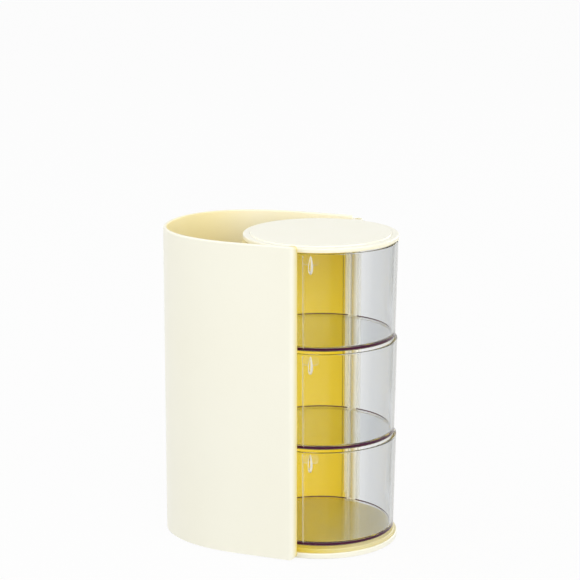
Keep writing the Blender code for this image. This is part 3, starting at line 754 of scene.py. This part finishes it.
def make_roof():
    """Round roof with an ear round the pivot and a recess for its cap."""
    bearing = pivot_bearing(ROOF_CENTRE)
    spread = ear_spread(ROOF_RADIUS)
    outline = arc(ROOF_RADIUS, bearing + spread, bearing - spread + 360, TURN_STEPS, ROOF_CENTRE)
    outline += ear_arc(bearing - 90, bearing + 90)
    low = roof_low.z - OVERRUN
    high = roof_high.z + OVERRUN
    recess = cylinder(CAP_RADIUS + CLEARANCE, roof_low.z + SHELF_THICKNESS, high, TURN_STEPS)
    peg_hole = copies(cylinder(CAP_PEG_RADIUS + CLEARANCE, low, high), cap_peg_places())
    changes = [
        ("DIFFERENCE", copies(recess, [ROOF_CENTRE])),
        ("DIFFERENCE", lug_sectors(CLEARANCE, low, roof_low.z + LUG_HEIGHT)),
        ("DIFFERENCE", copies(cylinder(BORE_RADIUS, low, high), [PIVOT])),
        ("DIFFERENCE", copies(peg_hole, [ROOF_CENTRE])),
    ]
    slab = plate(outline, roof_low.z, roof_high.z, EDGE_ROUND, CLEARANCE)
    return placed(shaped("roof", slab, changes), "frame", "cream_plastic", "bay_roof")


def make_cap():
    bottom = roof_low.z + SHELF_THICKNESS + CLEARANCE
    disc = copies(round_top(CAP_RADIUS + CAP_CLOSING, bottom, cap_high.z, CAP_ROUND), [ROOF_CENTRE])
    peg = copies(cylinder(CAP_PEG_RADIUS, cap_low.z, bottom + SEAM), cap_peg_places())
    cap = shaped("cap", disc, [("UNION", copies(peg, [ROOF_CENTRE]))])
    return placed(cap, "frame", "cream_plastic", "roof_cap")


def drawer_profile(foot, rim_height):
    """Half section of a drawer, from under its middle over the rim and back to the middle of its floor."""
    foot_radius = DRAWER_RIM_RADIUS - DRAWER_DRAFT
    inside = foot_radius - DRAWER_WALL
    floor = foot + DRAWER_FLOOR
    outer = [(foot_radius - drop, foot + back) for back, drop in rounded_edge(DRAWER_FOOT_ROUND)]
    inner = [(inside - back, floor + drop) for back, drop in rounded_edge(DRAWER_INNER_ROUND)]
    rim = [(DRAWER_RIM_RADIUS - back, rim_height - drop) for back, drop in rounded_edge(DRAWER_RIM_ROUND)]
    middle = DRAWER_RIM_RADIUS - DRAWER_WALL / 2
    rim += [(2 * middle - radius, height) for radius, height in reversed(rim)]
    return [(0, foot)] + outer + rim + inner + [(0, floor)]


def drawer_wall(height, foot, rim_height):
    """Outer radius of a drawer's wall at a height."""
    return DRAWER_RIM_RADIUS - DRAWER_DRAFT * (rim_height - height) / (rim_height - foot)


def ear_plate(bottom, top):
    """Tube for the rod with a web to the drawer's wall, before its bore."""
    bearing = pivot_bearing()
    x, y = polar(DRAWER_RIM_RADIUS - DRAWER_DRAFT - SEAM, bearing)
    across_x, across_y = polar(EAR_RADIUS, bearing - 90)
    outline = [(x - across_x, y - across_y), (x + across_x, y + across_y)]
    outline += ear_arc(bearing - 90, bearing + 90)
    return plate(outline, bottom, top, CLEARANCE, CLEARANCE)


def grip_swell(share):
    """How wide the grip is at a share of its height, with its widest place low down."""
    if share < GRIP_WIDEST_SHARE:
        return sqrt(max(0.0, 1 - (1 - share / GRIP_WIDEST_SHARE) ** 2))
    return cos(pi / 2 * (share - GRIP_WIDEST_SHARE) / (1 - GRIP_WIDEST_SHARE)) ** GRIP_POINT_POWER


def grip_fin(foot, rim_height):
    """Upright fin under the rim, pointed above and round below, that a fingertip pulls."""
    rings = []
    top = rim_height - GRIP_DROP
    side_turns = quarter(GRIP_SIDE_STEPS)[:-1]
    for step in range(1, GRIP_STEPS):
        share = (1 - cos(pi * step / GRIP_STEPS)) / 2
        height = top - GRIP_HEIGHT * (1 - share)
        wall = drawer_wall(height, foot, rim_height)
        swell = grip_swell(share)
        half = GRIP_WIDTH / 2 * swell
        reach = GRIP_REACH * swell
        section = [(-SEAM, -half)]
        section += [(reach * sin(turn), -half * cos(turn) ** GRIP_SIDE_POWER) for turn in side_turns]
        section += [(out, -side) for out, side in reversed(section)]
        rings.append([(wall + out, side, height) for out, side in section])
    fin = loft(rings)
    fin.transform(Matrix.Rotation(radians(GRIP_BEARING), 4, "Z"))
    return fin


def grip_tab(foot, rim_height):
    """Slightly raised rounded panel on the drawer's wall behind the grip."""
    middle = rim_height - GRIP_DROP - TAB_HEIGHT / 2
    outline = []
    for side_x, side_y, start in ((1, 1, 0), (-1, 1, 90), (-1, -1, 180), (1, -1, 270)):
        centre = (side_x * (TAB_WIDTH / 2 - TAB_ROUND), side_y * (TAB_HEIGHT / 2 - TAB_ROUND))
        outline += arc(TAB_ROUND, start, start + 90, ROUND_STEPS, centre)
    rings = []
    for out, shrink in ((-SEAM, 0), (TAB_RISE / 2, 0), (TAB_RISE, TAB_RISE)):
        ring = []
        for across, up in inset(outline, shrink):
            height = middle + up
            radius = drawer_wall(height, foot, rim_height) + out
            turn = radians(GRIP_BEARING) + across / DRAWER_RIM_RADIUS
            ring.append((radius * cos(turn), radius * sin(turn), height))
        rings.append(ring)
    return loft(rings)


def mould_line(foot, rim_height):
    """Fine upright ridge that the halves of the mould leave on the wall."""
    low = foot + 2 * DRAWER_FOOT_ROUND
    high = rim_height - 2 * DRAWER_RIM_ROUND
    rings = []
    for height in (low, high):
        radius = drawer_wall(height, foot, rim_height)
        section = [(radius - SEAM, -MOULD_LINE_WIDTH / 2)]
        for side, out in MOULD_LINE_PROFILE:
            section.append((radius + out * MOULD_LINE_RISE, side * MOULD_LINE_WIDTH))
        section.append((radius - SEAM, MOULD_LINE_WIDTH / 2))
        rings.append([(x, y, height) for x, y in section])
    ridge = loft(rings)
    ridge.transform(Matrix.Rotation(radians(MOULD_LINE_BEARING), 4, "Z"))
    return ridge


def make_drawer(node, body):
    low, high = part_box(node)
    bore = cylinder(BORE_RADIUS, low.z - OVERRUN, high.z + OVERRUN)
    changes = [
        ("UNION", grip_tab(low.z, high.z)),
        ("UNION", ear_plate(low.z + EAR_SETBACK, high.z - EAR_SETBACK)),
        ("UNION", grip_fin(low.z, high.z)),
        ("UNION", mould_line(low.z, high.z)),
        ("DIFFERENCE", copies(bore, [PIVOT])),
    ]
    cup = shaped(node.replace("drawer", "cup"), turned(drawer_profile(low.z, high.z)), changes)
    return placed(cup, body, "clear_plastic", node)


def nodes_with(word):
    """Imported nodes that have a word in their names."""
    return sorted(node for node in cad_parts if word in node)


def make_washers():
    washers = []
    for node in nodes_with("spacer_washer"):
        low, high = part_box(node)
        outer = (high.x - low.x) / 2
        round_off = (high.z - low.z) / 4
        ring = [(BORE_RADIUS, low.z), (outer - round_off, low.z), (outer, low.z + round_off)]
        ring += [(outer, high.z - round_off), (outer - round_off, high.z), (BORE_RADIUS, high.z)]
        ring = copies(turned(ring, SMALL_TURN_STEPS), [PIVOT])
        washers.append(placed(shaped(node.replace("spacer", "fine"), ring), "frame", "nylon", node))
    return washers


def make_rod():
    edge = CLEARANCE
    profile = [(0, rod_low.z), (ROD_RADIUS - edge, rod_low.z), (ROD_RADIUS, rod_low.z + edge)]
    profile += [(ROD_RADIUS, rod_high.z - edge), (ROD_RADIUS - edge, rod_high.z), (0, rod_high.z)]
    rod = shaped("rod", copies(turned(profile, SMALL_TURN_STEPS), [PIVOT]))
    return placed(rod, "frame", "cream_plastic", "pivot_rod")


def make_plug():
    disc = round_top(ROD_RADIUS, plug_low.z, plug_high.z, CLEARANCE, SMALL_TURN_STEPS)
    return placed(shaped("plug", copies(disc, [PIVOT])), "frame", "cream_plastic", "pivot_plug")


def screw_body(low, high):
    """Screw with a rounded head, a shank with rings for its thread and a point."""
    seat = low + HEAD_HEIGHT
    head = [(0, low)] + [(HEAD_RADIUS - drop, low + back) for back, drop in rounded_edge(HEAD_ROUND)]
    head.append((HEAD_RADIUS, seat))
    shank = [(SCREW_RADIUS - THREAD_DEPTH, seat)]
    start = seat
    while start + THREAD_PITCH < high - SCREW_TIP:
        shank.append((SCREW_RADIUS - THREAD_DEPTH, start + THREAD_PITCH * THREAD_ROOT_END))
        shank.append((SCREW_RADIUS, start + THREAD_PITCH * THREAD_CREST))
        start += THREAD_PITCH
        shank.append((SCREW_RADIUS - THREAD_DEPTH, start))
    return turned(head + shank + [(0, high)], SMALL_TURN_STEPS)


def make_screws():
    screws = []
    for node in nodes_with("_screw_"):
        low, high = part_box(node)
        middle = node_middle(node)
        top = low.z + CROSS_DEPTH
        half = CROSS_WIDTH / 2
        bars = [
            box((-CROSS_REACH, -half, low.z - OVERRUN), (CROSS_REACH, half, top)),
            box((-half, -CROSS_REACH, low.z - OVERRUN), (half, CROSS_REACH, top)),
        ]
        changes = [("DIFFERENCE", copies(bar, [middle])) for bar in bars]
        piece = shaped(node.replace("screw", "bolt"), copies(screw_body(low.z, high.z), [middle]), changes)
        screws.append(placed(piece, "frame", "steel", node))
    return screws


def make_feet():
    feet = []
    for node in nodes_with("foot_"):
        low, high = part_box(node)
        edge = [(FOOT_RADIUS - drop, low.z + back) for back, drop in rounded_edge(FOOT_ROUND)]
        profile = [(0, low.z)] + edge + [(FOOT_RADIUS, high.z), (0, high.z)]
        pad = copies(turned(profile, SMALL_TURN_STEPS), [node_middle(node)])
        feet.append(placed(shaped(node.replace("foot", "pad"), pad), "frame", "pad_rubber", node))
    return feet


def smooth_share(value, start, end):
    """0 before start, 1 after end and a smooth rise between them."""
    share = min(1.0, max(0.0, (value - start) / (end - start)))
    return share * share * (3 - 2 * share)


def shell_depth(place):
    """How deep in from the shell's outer face a point lies."""
    x = place.x - STACK_X
    along = max(0.0, -ROUND_END_START - x)
    reach = (along / ROUND_END_REACH) ** ROUND_END_POWER + (abs(place.y) / HALF_WIDTH) ** ROUND_END_POWER
    return HALF_WIDTH * (1 - reach ** (1 / ROUND_END_POWER))


def set_painted_shade(thing, name, rule):
    """Keeps at each point how much painted golden shade or painted dark shade it shows, from 0 to 1."""
    layer = thing.data.attributes.new(name, "FLOAT", "POINT")
    for point in thing.data.vertices:
        layer.data[point.index].value = rule(point.co)


def on_lip(place):
    return place.y < 0 and place.x - STACK_X > LIP_X + LIP_MARGIN


def shell_golden_shade(place):
    """Painted golden shade: deeper inside the bay than outside, most of all low down, at the rounded end and
    on the lip's edge.
    """
    depth = shell_depth(place)
    inward = smooth_share(depth, *INWARD_DEPTHS)
    golden_shade = inward * (BAY_GOLDEN_SHADE + BAY_GOLDEN_SHADE_BELOW * smooth_share(SHELL_TOP - place.z, 0, BAY_GOLDEN_SHADE_DROP))
    into_end = STACK_X - ROUND_END_START - place.x
    golden_shade += inward * END_GOLDEN_SHADE * smooth_share(into_end, END_GOLDEN_SHADE_START * ROUND_END_REACH, ROUND_END_REACH)
    if place.y > 0 and place.x - STACK_X > BACK_TAB_X - PARTITION_WALL:
        golden_shade = BACK_STRIP_GOLDEN_SHADE
    # painted golden shade along the lip's edge, beside the drawers
    if on_lip(place):
        golden_shade = max(golden_shade, LIP_GOLDEN_SHADE * smooth_share(depth, *LIP_GOLDEN_SHADE_DEPTHS))
    return golden_shade


# Painted dark shade along the lip's edge, beside the drawers.
def shell_shade(place):
    return LIP_SHADE * smooth_share(shell_depth(place), *LIP_SHADE_DEPTHS) if on_lip(place) else 0.0


# Painted golden shade: full on the face toward the drawers and on the back tab, less on the bay's side.
def partition_golden_shade(place):
    radius = hypot(place.x - STACK_X, place.y)
    tab_face = place.y > 0 and place.x - STACK_X > BACK_TAB_X - PARTITION_WALL / 2
    return 1.0 if tab_face or radius < PARTITION_INNER + PARTITION_WALL / 2 else PARTITION_BACK_GOLDEN_SHADE


def partition_shade(place):
    """Painted shade, dark in the groove that parts the wall from its back tab."""
    depth = hypot(place.x - STACK_X, place.y) - PARTITION_INNER
    return 1.0 if abs(depth - GROOVE_DEPTH) < GROOVE_MARGIN else 0.0


def base_shade(place):
    """Painted shadow under the drawers: on the plinth and on the flange round it, but not on the outside of
    the flange.
    """
    radius = hypot(place.x - STACK_X + ROOF_SHIFT, place.y)
    upper = smooth_share(place.z, *[BASE_TOP - drop for drop in BASE_SHADE_DROPS])
    return BASE_SHADE * upper * smooth_share(FLANGE_RADIUS - radius, *BASE_SHADE_INSETS)


def base_golden_shade(place):
    """Painted golden shade where the painted shadow is, deepest near the shell's front end."""
    fade = BASE_GOLDEN_SHADE_FADE * smooth_share(place.x - STACK_X, *BASE_GOLDEN_SHADE_PLACES)
    return base_shade(place) / BASE_SHADE * (BASE_GOLDEN_SHADE - fade)


# Painted golden shade low on the roof's edge and on its underside.
def roof_golden_shade(place):
    return ROOF_GOLDEN_SHADE * smooth_share(roof_high.z - place.z, *ROOF_GOLDEN_SHADE_DROPS)


class Nodes:
    """Short way to write the nodes of a material or of the world."""

    def __init__(self, owner, shader="Principled BSDF", output="Material Output"):
        owner.use_nodes = True
        self.owner = owner
        self.tree = owner.node_tree
        self.shader = self.tree.nodes[shader]
        self.output = self.tree.nodes[output]

    def add(self, kind, **settings):
        node = self.tree.nodes.new(kind)
        for key, value in settings.items():
            setattr(node, key, value)
        return node

    def link(self, source, target):
        self.tree.links.new(source, target)

    def feed(self, source, name):
        self.link(source, self.shader.inputs[name])

    def place(self):
        return self.add("ShaderNodeTexCoord").outputs["Object"]

    def noise(self, scale, detail):
        """Noise over the piece, with scale in waves per metre."""
        texture = self.add("ShaderNodeTexNoise")
        texture.inputs["Scale"].default_value = scale
        texture.inputs["Detail"].default_value = detail
        self.link(self.place(), texture.inputs["Vector"])
        return texture.outputs["Fac"]

    def span(self, source, low, high, start=NOISE_RANGE[0], end=NOISE_RANGE[1]):
        """Turns a value between start and end into one between low and high."""
        ramp = self.add("ShaderNodeMapRange")
        for name, value in (("From Min", start), ("From Max", end), ("To Min", low), ("To Max", high)):
            ramp.inputs[name].default_value = value
        self.link(source, ramp.inputs["Value"])
        return ramp.outputs["Result"]

    def mix(self, factor, first, second):
        """Mix of two colours, each given as a colour or as another node's output."""
        node = self.add("ShaderNodeMix", data_type="RGBA")
        self.link(factor, node.inputs["Factor"])
        for socket, value in ((node.inputs[6], first), (node.inputs[7], second)):
            if isinstance(value, tuple):
                socket.default_value = (*value, 1)
            else:
                self.link(value, socket)
        return node.outputs[2]

    def bump(self, layers):
        """Bumps one after another, each of them a height source and a depth in metres."""
        normal = None
        for source, depth in layers:
            node = self.add("ShaderNodeBump")
            node.inputs["Distance"].default_value = depth
            self.link(source, node.inputs["Height"])
            if normal:
                self.link(normal, node.inputs["Normal"])
            normal = node.outputs["Normal"]
        self.feed(normal, "Normal")

    def distance(self, centre):
        """Distance from an upright axis."""
        mapping = self.add("ShaderNodeMapping")
        mapping.inputs["Location"].default_value = (-centre[0], -centre[1], 0)
        mapping.inputs["Scale"].default_value = (1, 1, 0)
        self.link(self.place(), mapping.inputs["Vector"])
        length = self.add("ShaderNodeVectorMath", operation="LENGTH")
        self.link(mapping.outputs["Vector"], length.inputs[0])
        return length.outputs["Value"]

    def math(self, operation, *sources):
        """Puts values together, one after another."""
        result = sources[0]
        for source in sources[1:]:
            node = self.add("ShaderNodeMath", operation=operation)
            self.link(result, node.inputs[0])
            self.link(source, node.inputs[1])
            result = node.outputs[0]
        return result

    def either(self, *names):
        """1 for rays of any of these kinds, else 0."""
        path = self.add("ShaderNodeLightPath")
        return self.math("MAXIMUM", *[path.outputs[name] for name in names])

    def cover(self, share, other):
        """Shows another shader in place of the usual one, for a share from 0 to 1."""
        mixed = self.add("ShaderNodeMixShader")
        self.link(share, mixed.inputs[0])
        self.link(self.shader.outputs[0], mixed.inputs[1])
        self.link(other.outputs[0], mixed.inputs[2])
        self.link(mixed.outputs[0], self.output.inputs["Surface"])

    def set(self, **values):
        """Sets constant values on the shader's own sockets, with _ for the spaces in their names."""
        for name, value in values.items():
            self.shader.inputs[name.replace("_", " ")].default_value = value


def cream_plastic(name):
    """Satin moulded plastic, with a painted golden shade that is deeper inside the bay, and a painted dark
    shade.
    """
    look = Nodes(bpy.data.materials.new(name))
    pale = look.mix(look.span(look.noise(CREAM_DRIFT, SOFT_DETAIL), 0, 1), CREAM_PALE, CREAM_WARM)
    # painted golden shade and painted dark shade, kept at the points of each piece
    golden_shade = look.add("ShaderNodeAttribute", attribute_name="golden_shade").outputs["Fac"]
    shade = look.add("ShaderNodeAttribute", attribute_name="shade").outputs["Fac"]
    colour = look.mix(shade, look.mix(golden_shade, pale, CREAM_GOLDEN_SHADE), CREAM_SHADE)
    look.feed(colour, "Base Color")
    patches = look.noise(CREAM_PATCHES, FINE_DETAIL)
    look.feed(look.span(patches, *CREAM_ROUGHNESS), "Roughness")
    look.bump([(look.noise(waves, SOFT_DETAIL), depth) for waves, depth in CREAM_BUMPS])
    look.set(IOR=CREAM_IOR, Coat_Weight=CREAM_COAT, Coat_Roughness=CREAM_COAT_ROUGHNESS)
    return look.owner


def clear_plastic(name, foot, rim):
    """Clear moulded plastic, with a painted grey where it is seen slantwise and a painted plum line at its
    lower edge.

    It is matt and whitish round the pivot, and has a painted highlight where a form stands out from the
    plain wall.
    """
    look = Nodes(bpy.data.materials.new(name))
    split = look.add("ShaderNodeSeparateXYZ")
    look.link(look.place(), split.inputs[0])
    height = split.outputs["Z"]
    out = look.distance((STACK_X, 0))
    on_wall = look.span(out, 0, 1, *[DRAWER_RIM_RADIUS - depth for depth in CLEAR_WALL_INSETS])
    # painted plum line: the plastic's own plum tint, painted as dark as it shows where the floor behind the
    # wall is seen edge-on
    bands = [
        look.span(height, 0, 1, *[foot + rise for rise in BAND_LOW]),
        look.span(height, 1, 0, *[foot + rise for rise in BAND_HIGH]),
        look.span(out, 1, 0, *[DRAWER_RIM_RADIUS - depth for depth in BAND_INSETS]),
    ]
    floor_edge_shade = look.math("MULTIPLY", *bands, on_wall)
    pivot = (STACK_X + PIVOT[0], PIVOT[1])
    ear = look.span(look.distance(pivot), 1, 0, *[EAR_RADIUS + margin for margin in EAR_MARGINS])
    slant = look.add("ShaderNodeLayerWeight").outputs["Facing"]
    # painted grey where the wall is seen slantwise, and a painted dark edge where it is seen nearly edge-on
    tint = look.mix(look.span(slant, 0, 1, *GRAZING_SLANTS), CLEAR_FACING, CLEAR_GRAZING_SHADE)
    edge = look.math("MULTIPLY", on_wall, look.span(slant, 0, 1, *EDGE_SLANTS))
    tint = look.mix(edge, tint, CLEAR_EDGE_SHADE)
    wall = look.span(height, DRAWER_RIM_RADIUS - DRAWER_DRAFT, DRAWER_RIM_RADIUS, foot, rim)
    # painted highlight on the slanting sides of forms that stand out from the wall, such as the grip, its
    # tab and the mould line
    raised = look.span(look.math("SUBTRACT", out, wall), 0, 1, *HIGHLIGHT_RISES)
    highlight = look.math("MULTIPLY", raised, look.span(slant, 0, 1, *HIGHLIGHT_SLANTS))
    tint = look.mix(highlight, tint, CLEAR_HIGHLIGHT)
    look.feed(look.mix(ear, look.mix(floor_edge_shade, tint, PLUM_SHADE), CLEAR_MATT), "Base Color")
    parts = ((floor_edge_shade, BAND_PASS), (ear, EAR_PASS), (highlight, HIGHLIGHT_PASS))
    passes = [look.span(part, 1.0, share, 0, 1) for part, share in parts]
    look.feed(look.math("MULTIPLY", *passes), "Transmission Weight")
    patches = look.noise(CLEAR_PATCHES, FINE_DETAIL)
    rough = look.mix(ear, look.span(patches, *CLEAR_ROUGHNESS), EAR_ROUGHNESS)
    look.feed(rough, "Roughness")
    look.bump([(look.noise(CLEAR_WAVES, SOFT_DETAIL), CLEAR_WAVE_DEPTH)])
    look.set(IOR=CLEAR_IOR, Specular_Tint=CLEAR_GLOSS)
    clear = look.add("ShaderNodeBsdfTransparent")
    clear.inputs["Color"].default_value = CLEAR_PASS
    look.cover(look.either("Is Shadow Ray", "Is Diffuse Ray"), clear)
    absorb = look.add("ShaderNodeVolumeAbsorption")
    absorb.inputs["Color"].default_value = SMOKE
    absorb.inputs["Density"].default_value = SMOKE_DENSITY
    look.link(absorb.outputs[0], look.output.inputs["Volume"])
    return look.owner


def two_tone(name, colours, roughness, metallic=0.0, waves=SMALL_WAVES):
    """Plain finish whose colour and roughness drift between two values."""
    look = Nodes(bpy.data.materials.new(name))
    drift = look.noise(waves, FINE_DETAIL)
    look.feed(look.mix(look.span(drift, 0, 1), *colours), "Base Color")
    patches = look.noise(waves * PATCH_FINENESS, GRAIN_DETAIL)
    look.feed(look.span(patches, *roughness), "Roughness")
    look.bump([(look.noise(waves * GRAIN_FINENESS, GRAIN_DETAIL), GRAIN_DEPTH)])
    look.set(Metallic=metallic)
    return look.owner


def dress(things, material):
    for thing in things:
        thing.data.materials.clear()
        thing.data.materials.append(material)


def make_stage():
    """White floor that keeps only a faint shadow, and white all round for what looks into it."""
    shape = bmesh.new()
    bmesh.ops.create_grid(shape, x_segments=FLOOR_SEGMENTS, y_segments=FLOOR_SEGMENTS, size=FLOOR_SIZE)
    floor = bpy.data.objects.new("floor", finished(shape))
    bpy.context.scene.collection.objects.link(floor)
    look = Nodes(bpy.data.materials.new("floor_white"))
    shade = look.mix(look.either("Is Diffuse Ray"), FLOOR_WHITE, FLOOR_DIM)
    look.feed(shade, "Base Color")
    look.set(Roughness=FLOOR_ROUGHNESS)
    glow = look.add("ShaderNodeEmission")
    glow.inputs["Strength"].default_value = 1.0
    look.cover(look.span(look.either(*SEEN_RAYS), 0, FLOOR_GLOW, 0, 1), glow)
    floor.data.materials.append(look.owner)


def make_world():
    """White where it is seen, and dimmer as a light on the object."""
    world = bpy.data.worlds.new("studio")
    bpy.context.scene.world = world
    look = Nodes(world, "Background", "World Output")
    look.set(Color=WHITE, Strength=WORLD_LIGHT)
    bright = look.add("ShaderNodeBackground")
    bright.inputs["Color"].default_value = WHITE
    bright.inputs["Strength"].default_value = 1.0
    look.cover(look.either(*SEEN_RAYS), bright)


def add_lamp(name, place, size, power):
    lamp = bpy.data.lights.new(name, "AREA")
    lamp.shape = "RECTANGLE"
    lamp.size, lamp.size_y = size
    lamp.energy = power
    thing = bpy.data.objects.new(name, lamp)
    bpy.context.scene.collection.objects.link(thing)
    thing.location = place
    away = Vector(place) - Vector(LAMP_TARGET)
    thing.rotation_euler = away.to_track_quat("Z", "Y").to_euler()


def make_camera():
    camera = bpy.data.objects.new("camera", bpy.data.cameras.new("camera"))
    bpy.context.scene.collection.objects.link(camera)
    camera.data.lens = CAMERA_LENS
    camera.location = (STACK_X + CAMERA_FROM_STACK[0], CAMERA_FROM_STACK[1], CAMERA_FROM_STACK[2])
    camera.rotation_euler = [radians(turn) for turn in CAMERA_TURN]
    bpy.context.scene.camera = camera


def build():
    shell = make_shell()
    partition = make_partition()
    base = make_base()
    roof = make_roof()
    cap = make_cap()
    plug = make_plug()
    set_painted_shade(shell, "golden_shade", shell_golden_shade)
    set_painted_shade(shell, "shade", shell_shade)
    set_painted_shade(partition, "golden_shade", partition_golden_shade)
    set_painted_shade(partition, "shade", partition_shade)
    set_painted_shade(base, "golden_shade", base_golden_shade)
    set_painted_shade(base, "shade", base_shade)
    set_painted_shade(roof, "golden_shade", roof_golden_shade)
    # painted golden and dark shade on the plug, down in the roof's hole
    set_painted_shade(plug, "golden_shade", lambda place: PLUG_GOLDEN_SHADE)
    set_painted_shade(plug, "shade", lambda place: PLUG_SHADE)
    dress([shell, partition, base, roof, cap, make_rod(), plug], cream_plastic("cream_plastic"))
    for node, body in DRAWERS.items():
        low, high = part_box(node)
        dress([make_drawer(node, body)], clear_plastic(f"{node}_clear", low.z, high.z))
    dress(make_washers(), two_tone("nylon", (NYLON, NYLON_WARM), NYLON_ROUGHNESS))
    steel = two_tone("steel", (STEEL, STEEL_DARK), STEEL_ROUGHNESS, metallic=1.0, waves=STEEL_WAVES)
    dress(make_screws(), steel)
    dress(make_feet(), two_tone("pad_rubber", (RUBBER, RUBBER_WORN), RUBBER_ROUGHNESS))
    make_stage()
    make_world()
    for name, (place, size, power) in LAMPS.items():
        add_lamp(name, place, size, power)
    make_camera()
    bpy.context.scene.view_settings.view_transform = "Standard"
    cycles = bpy.context.scene.cycles
    cycles.max_bounces = BOUNCES
    cycles.transmission_bounces = BOUNCES
    cycles.glossy_bounces = BOUNCES
    cycles.transparent_max_bounces = BOUNCES
    cycles.diffuse_bounces = DIFFUSE_BOUNCES


build()
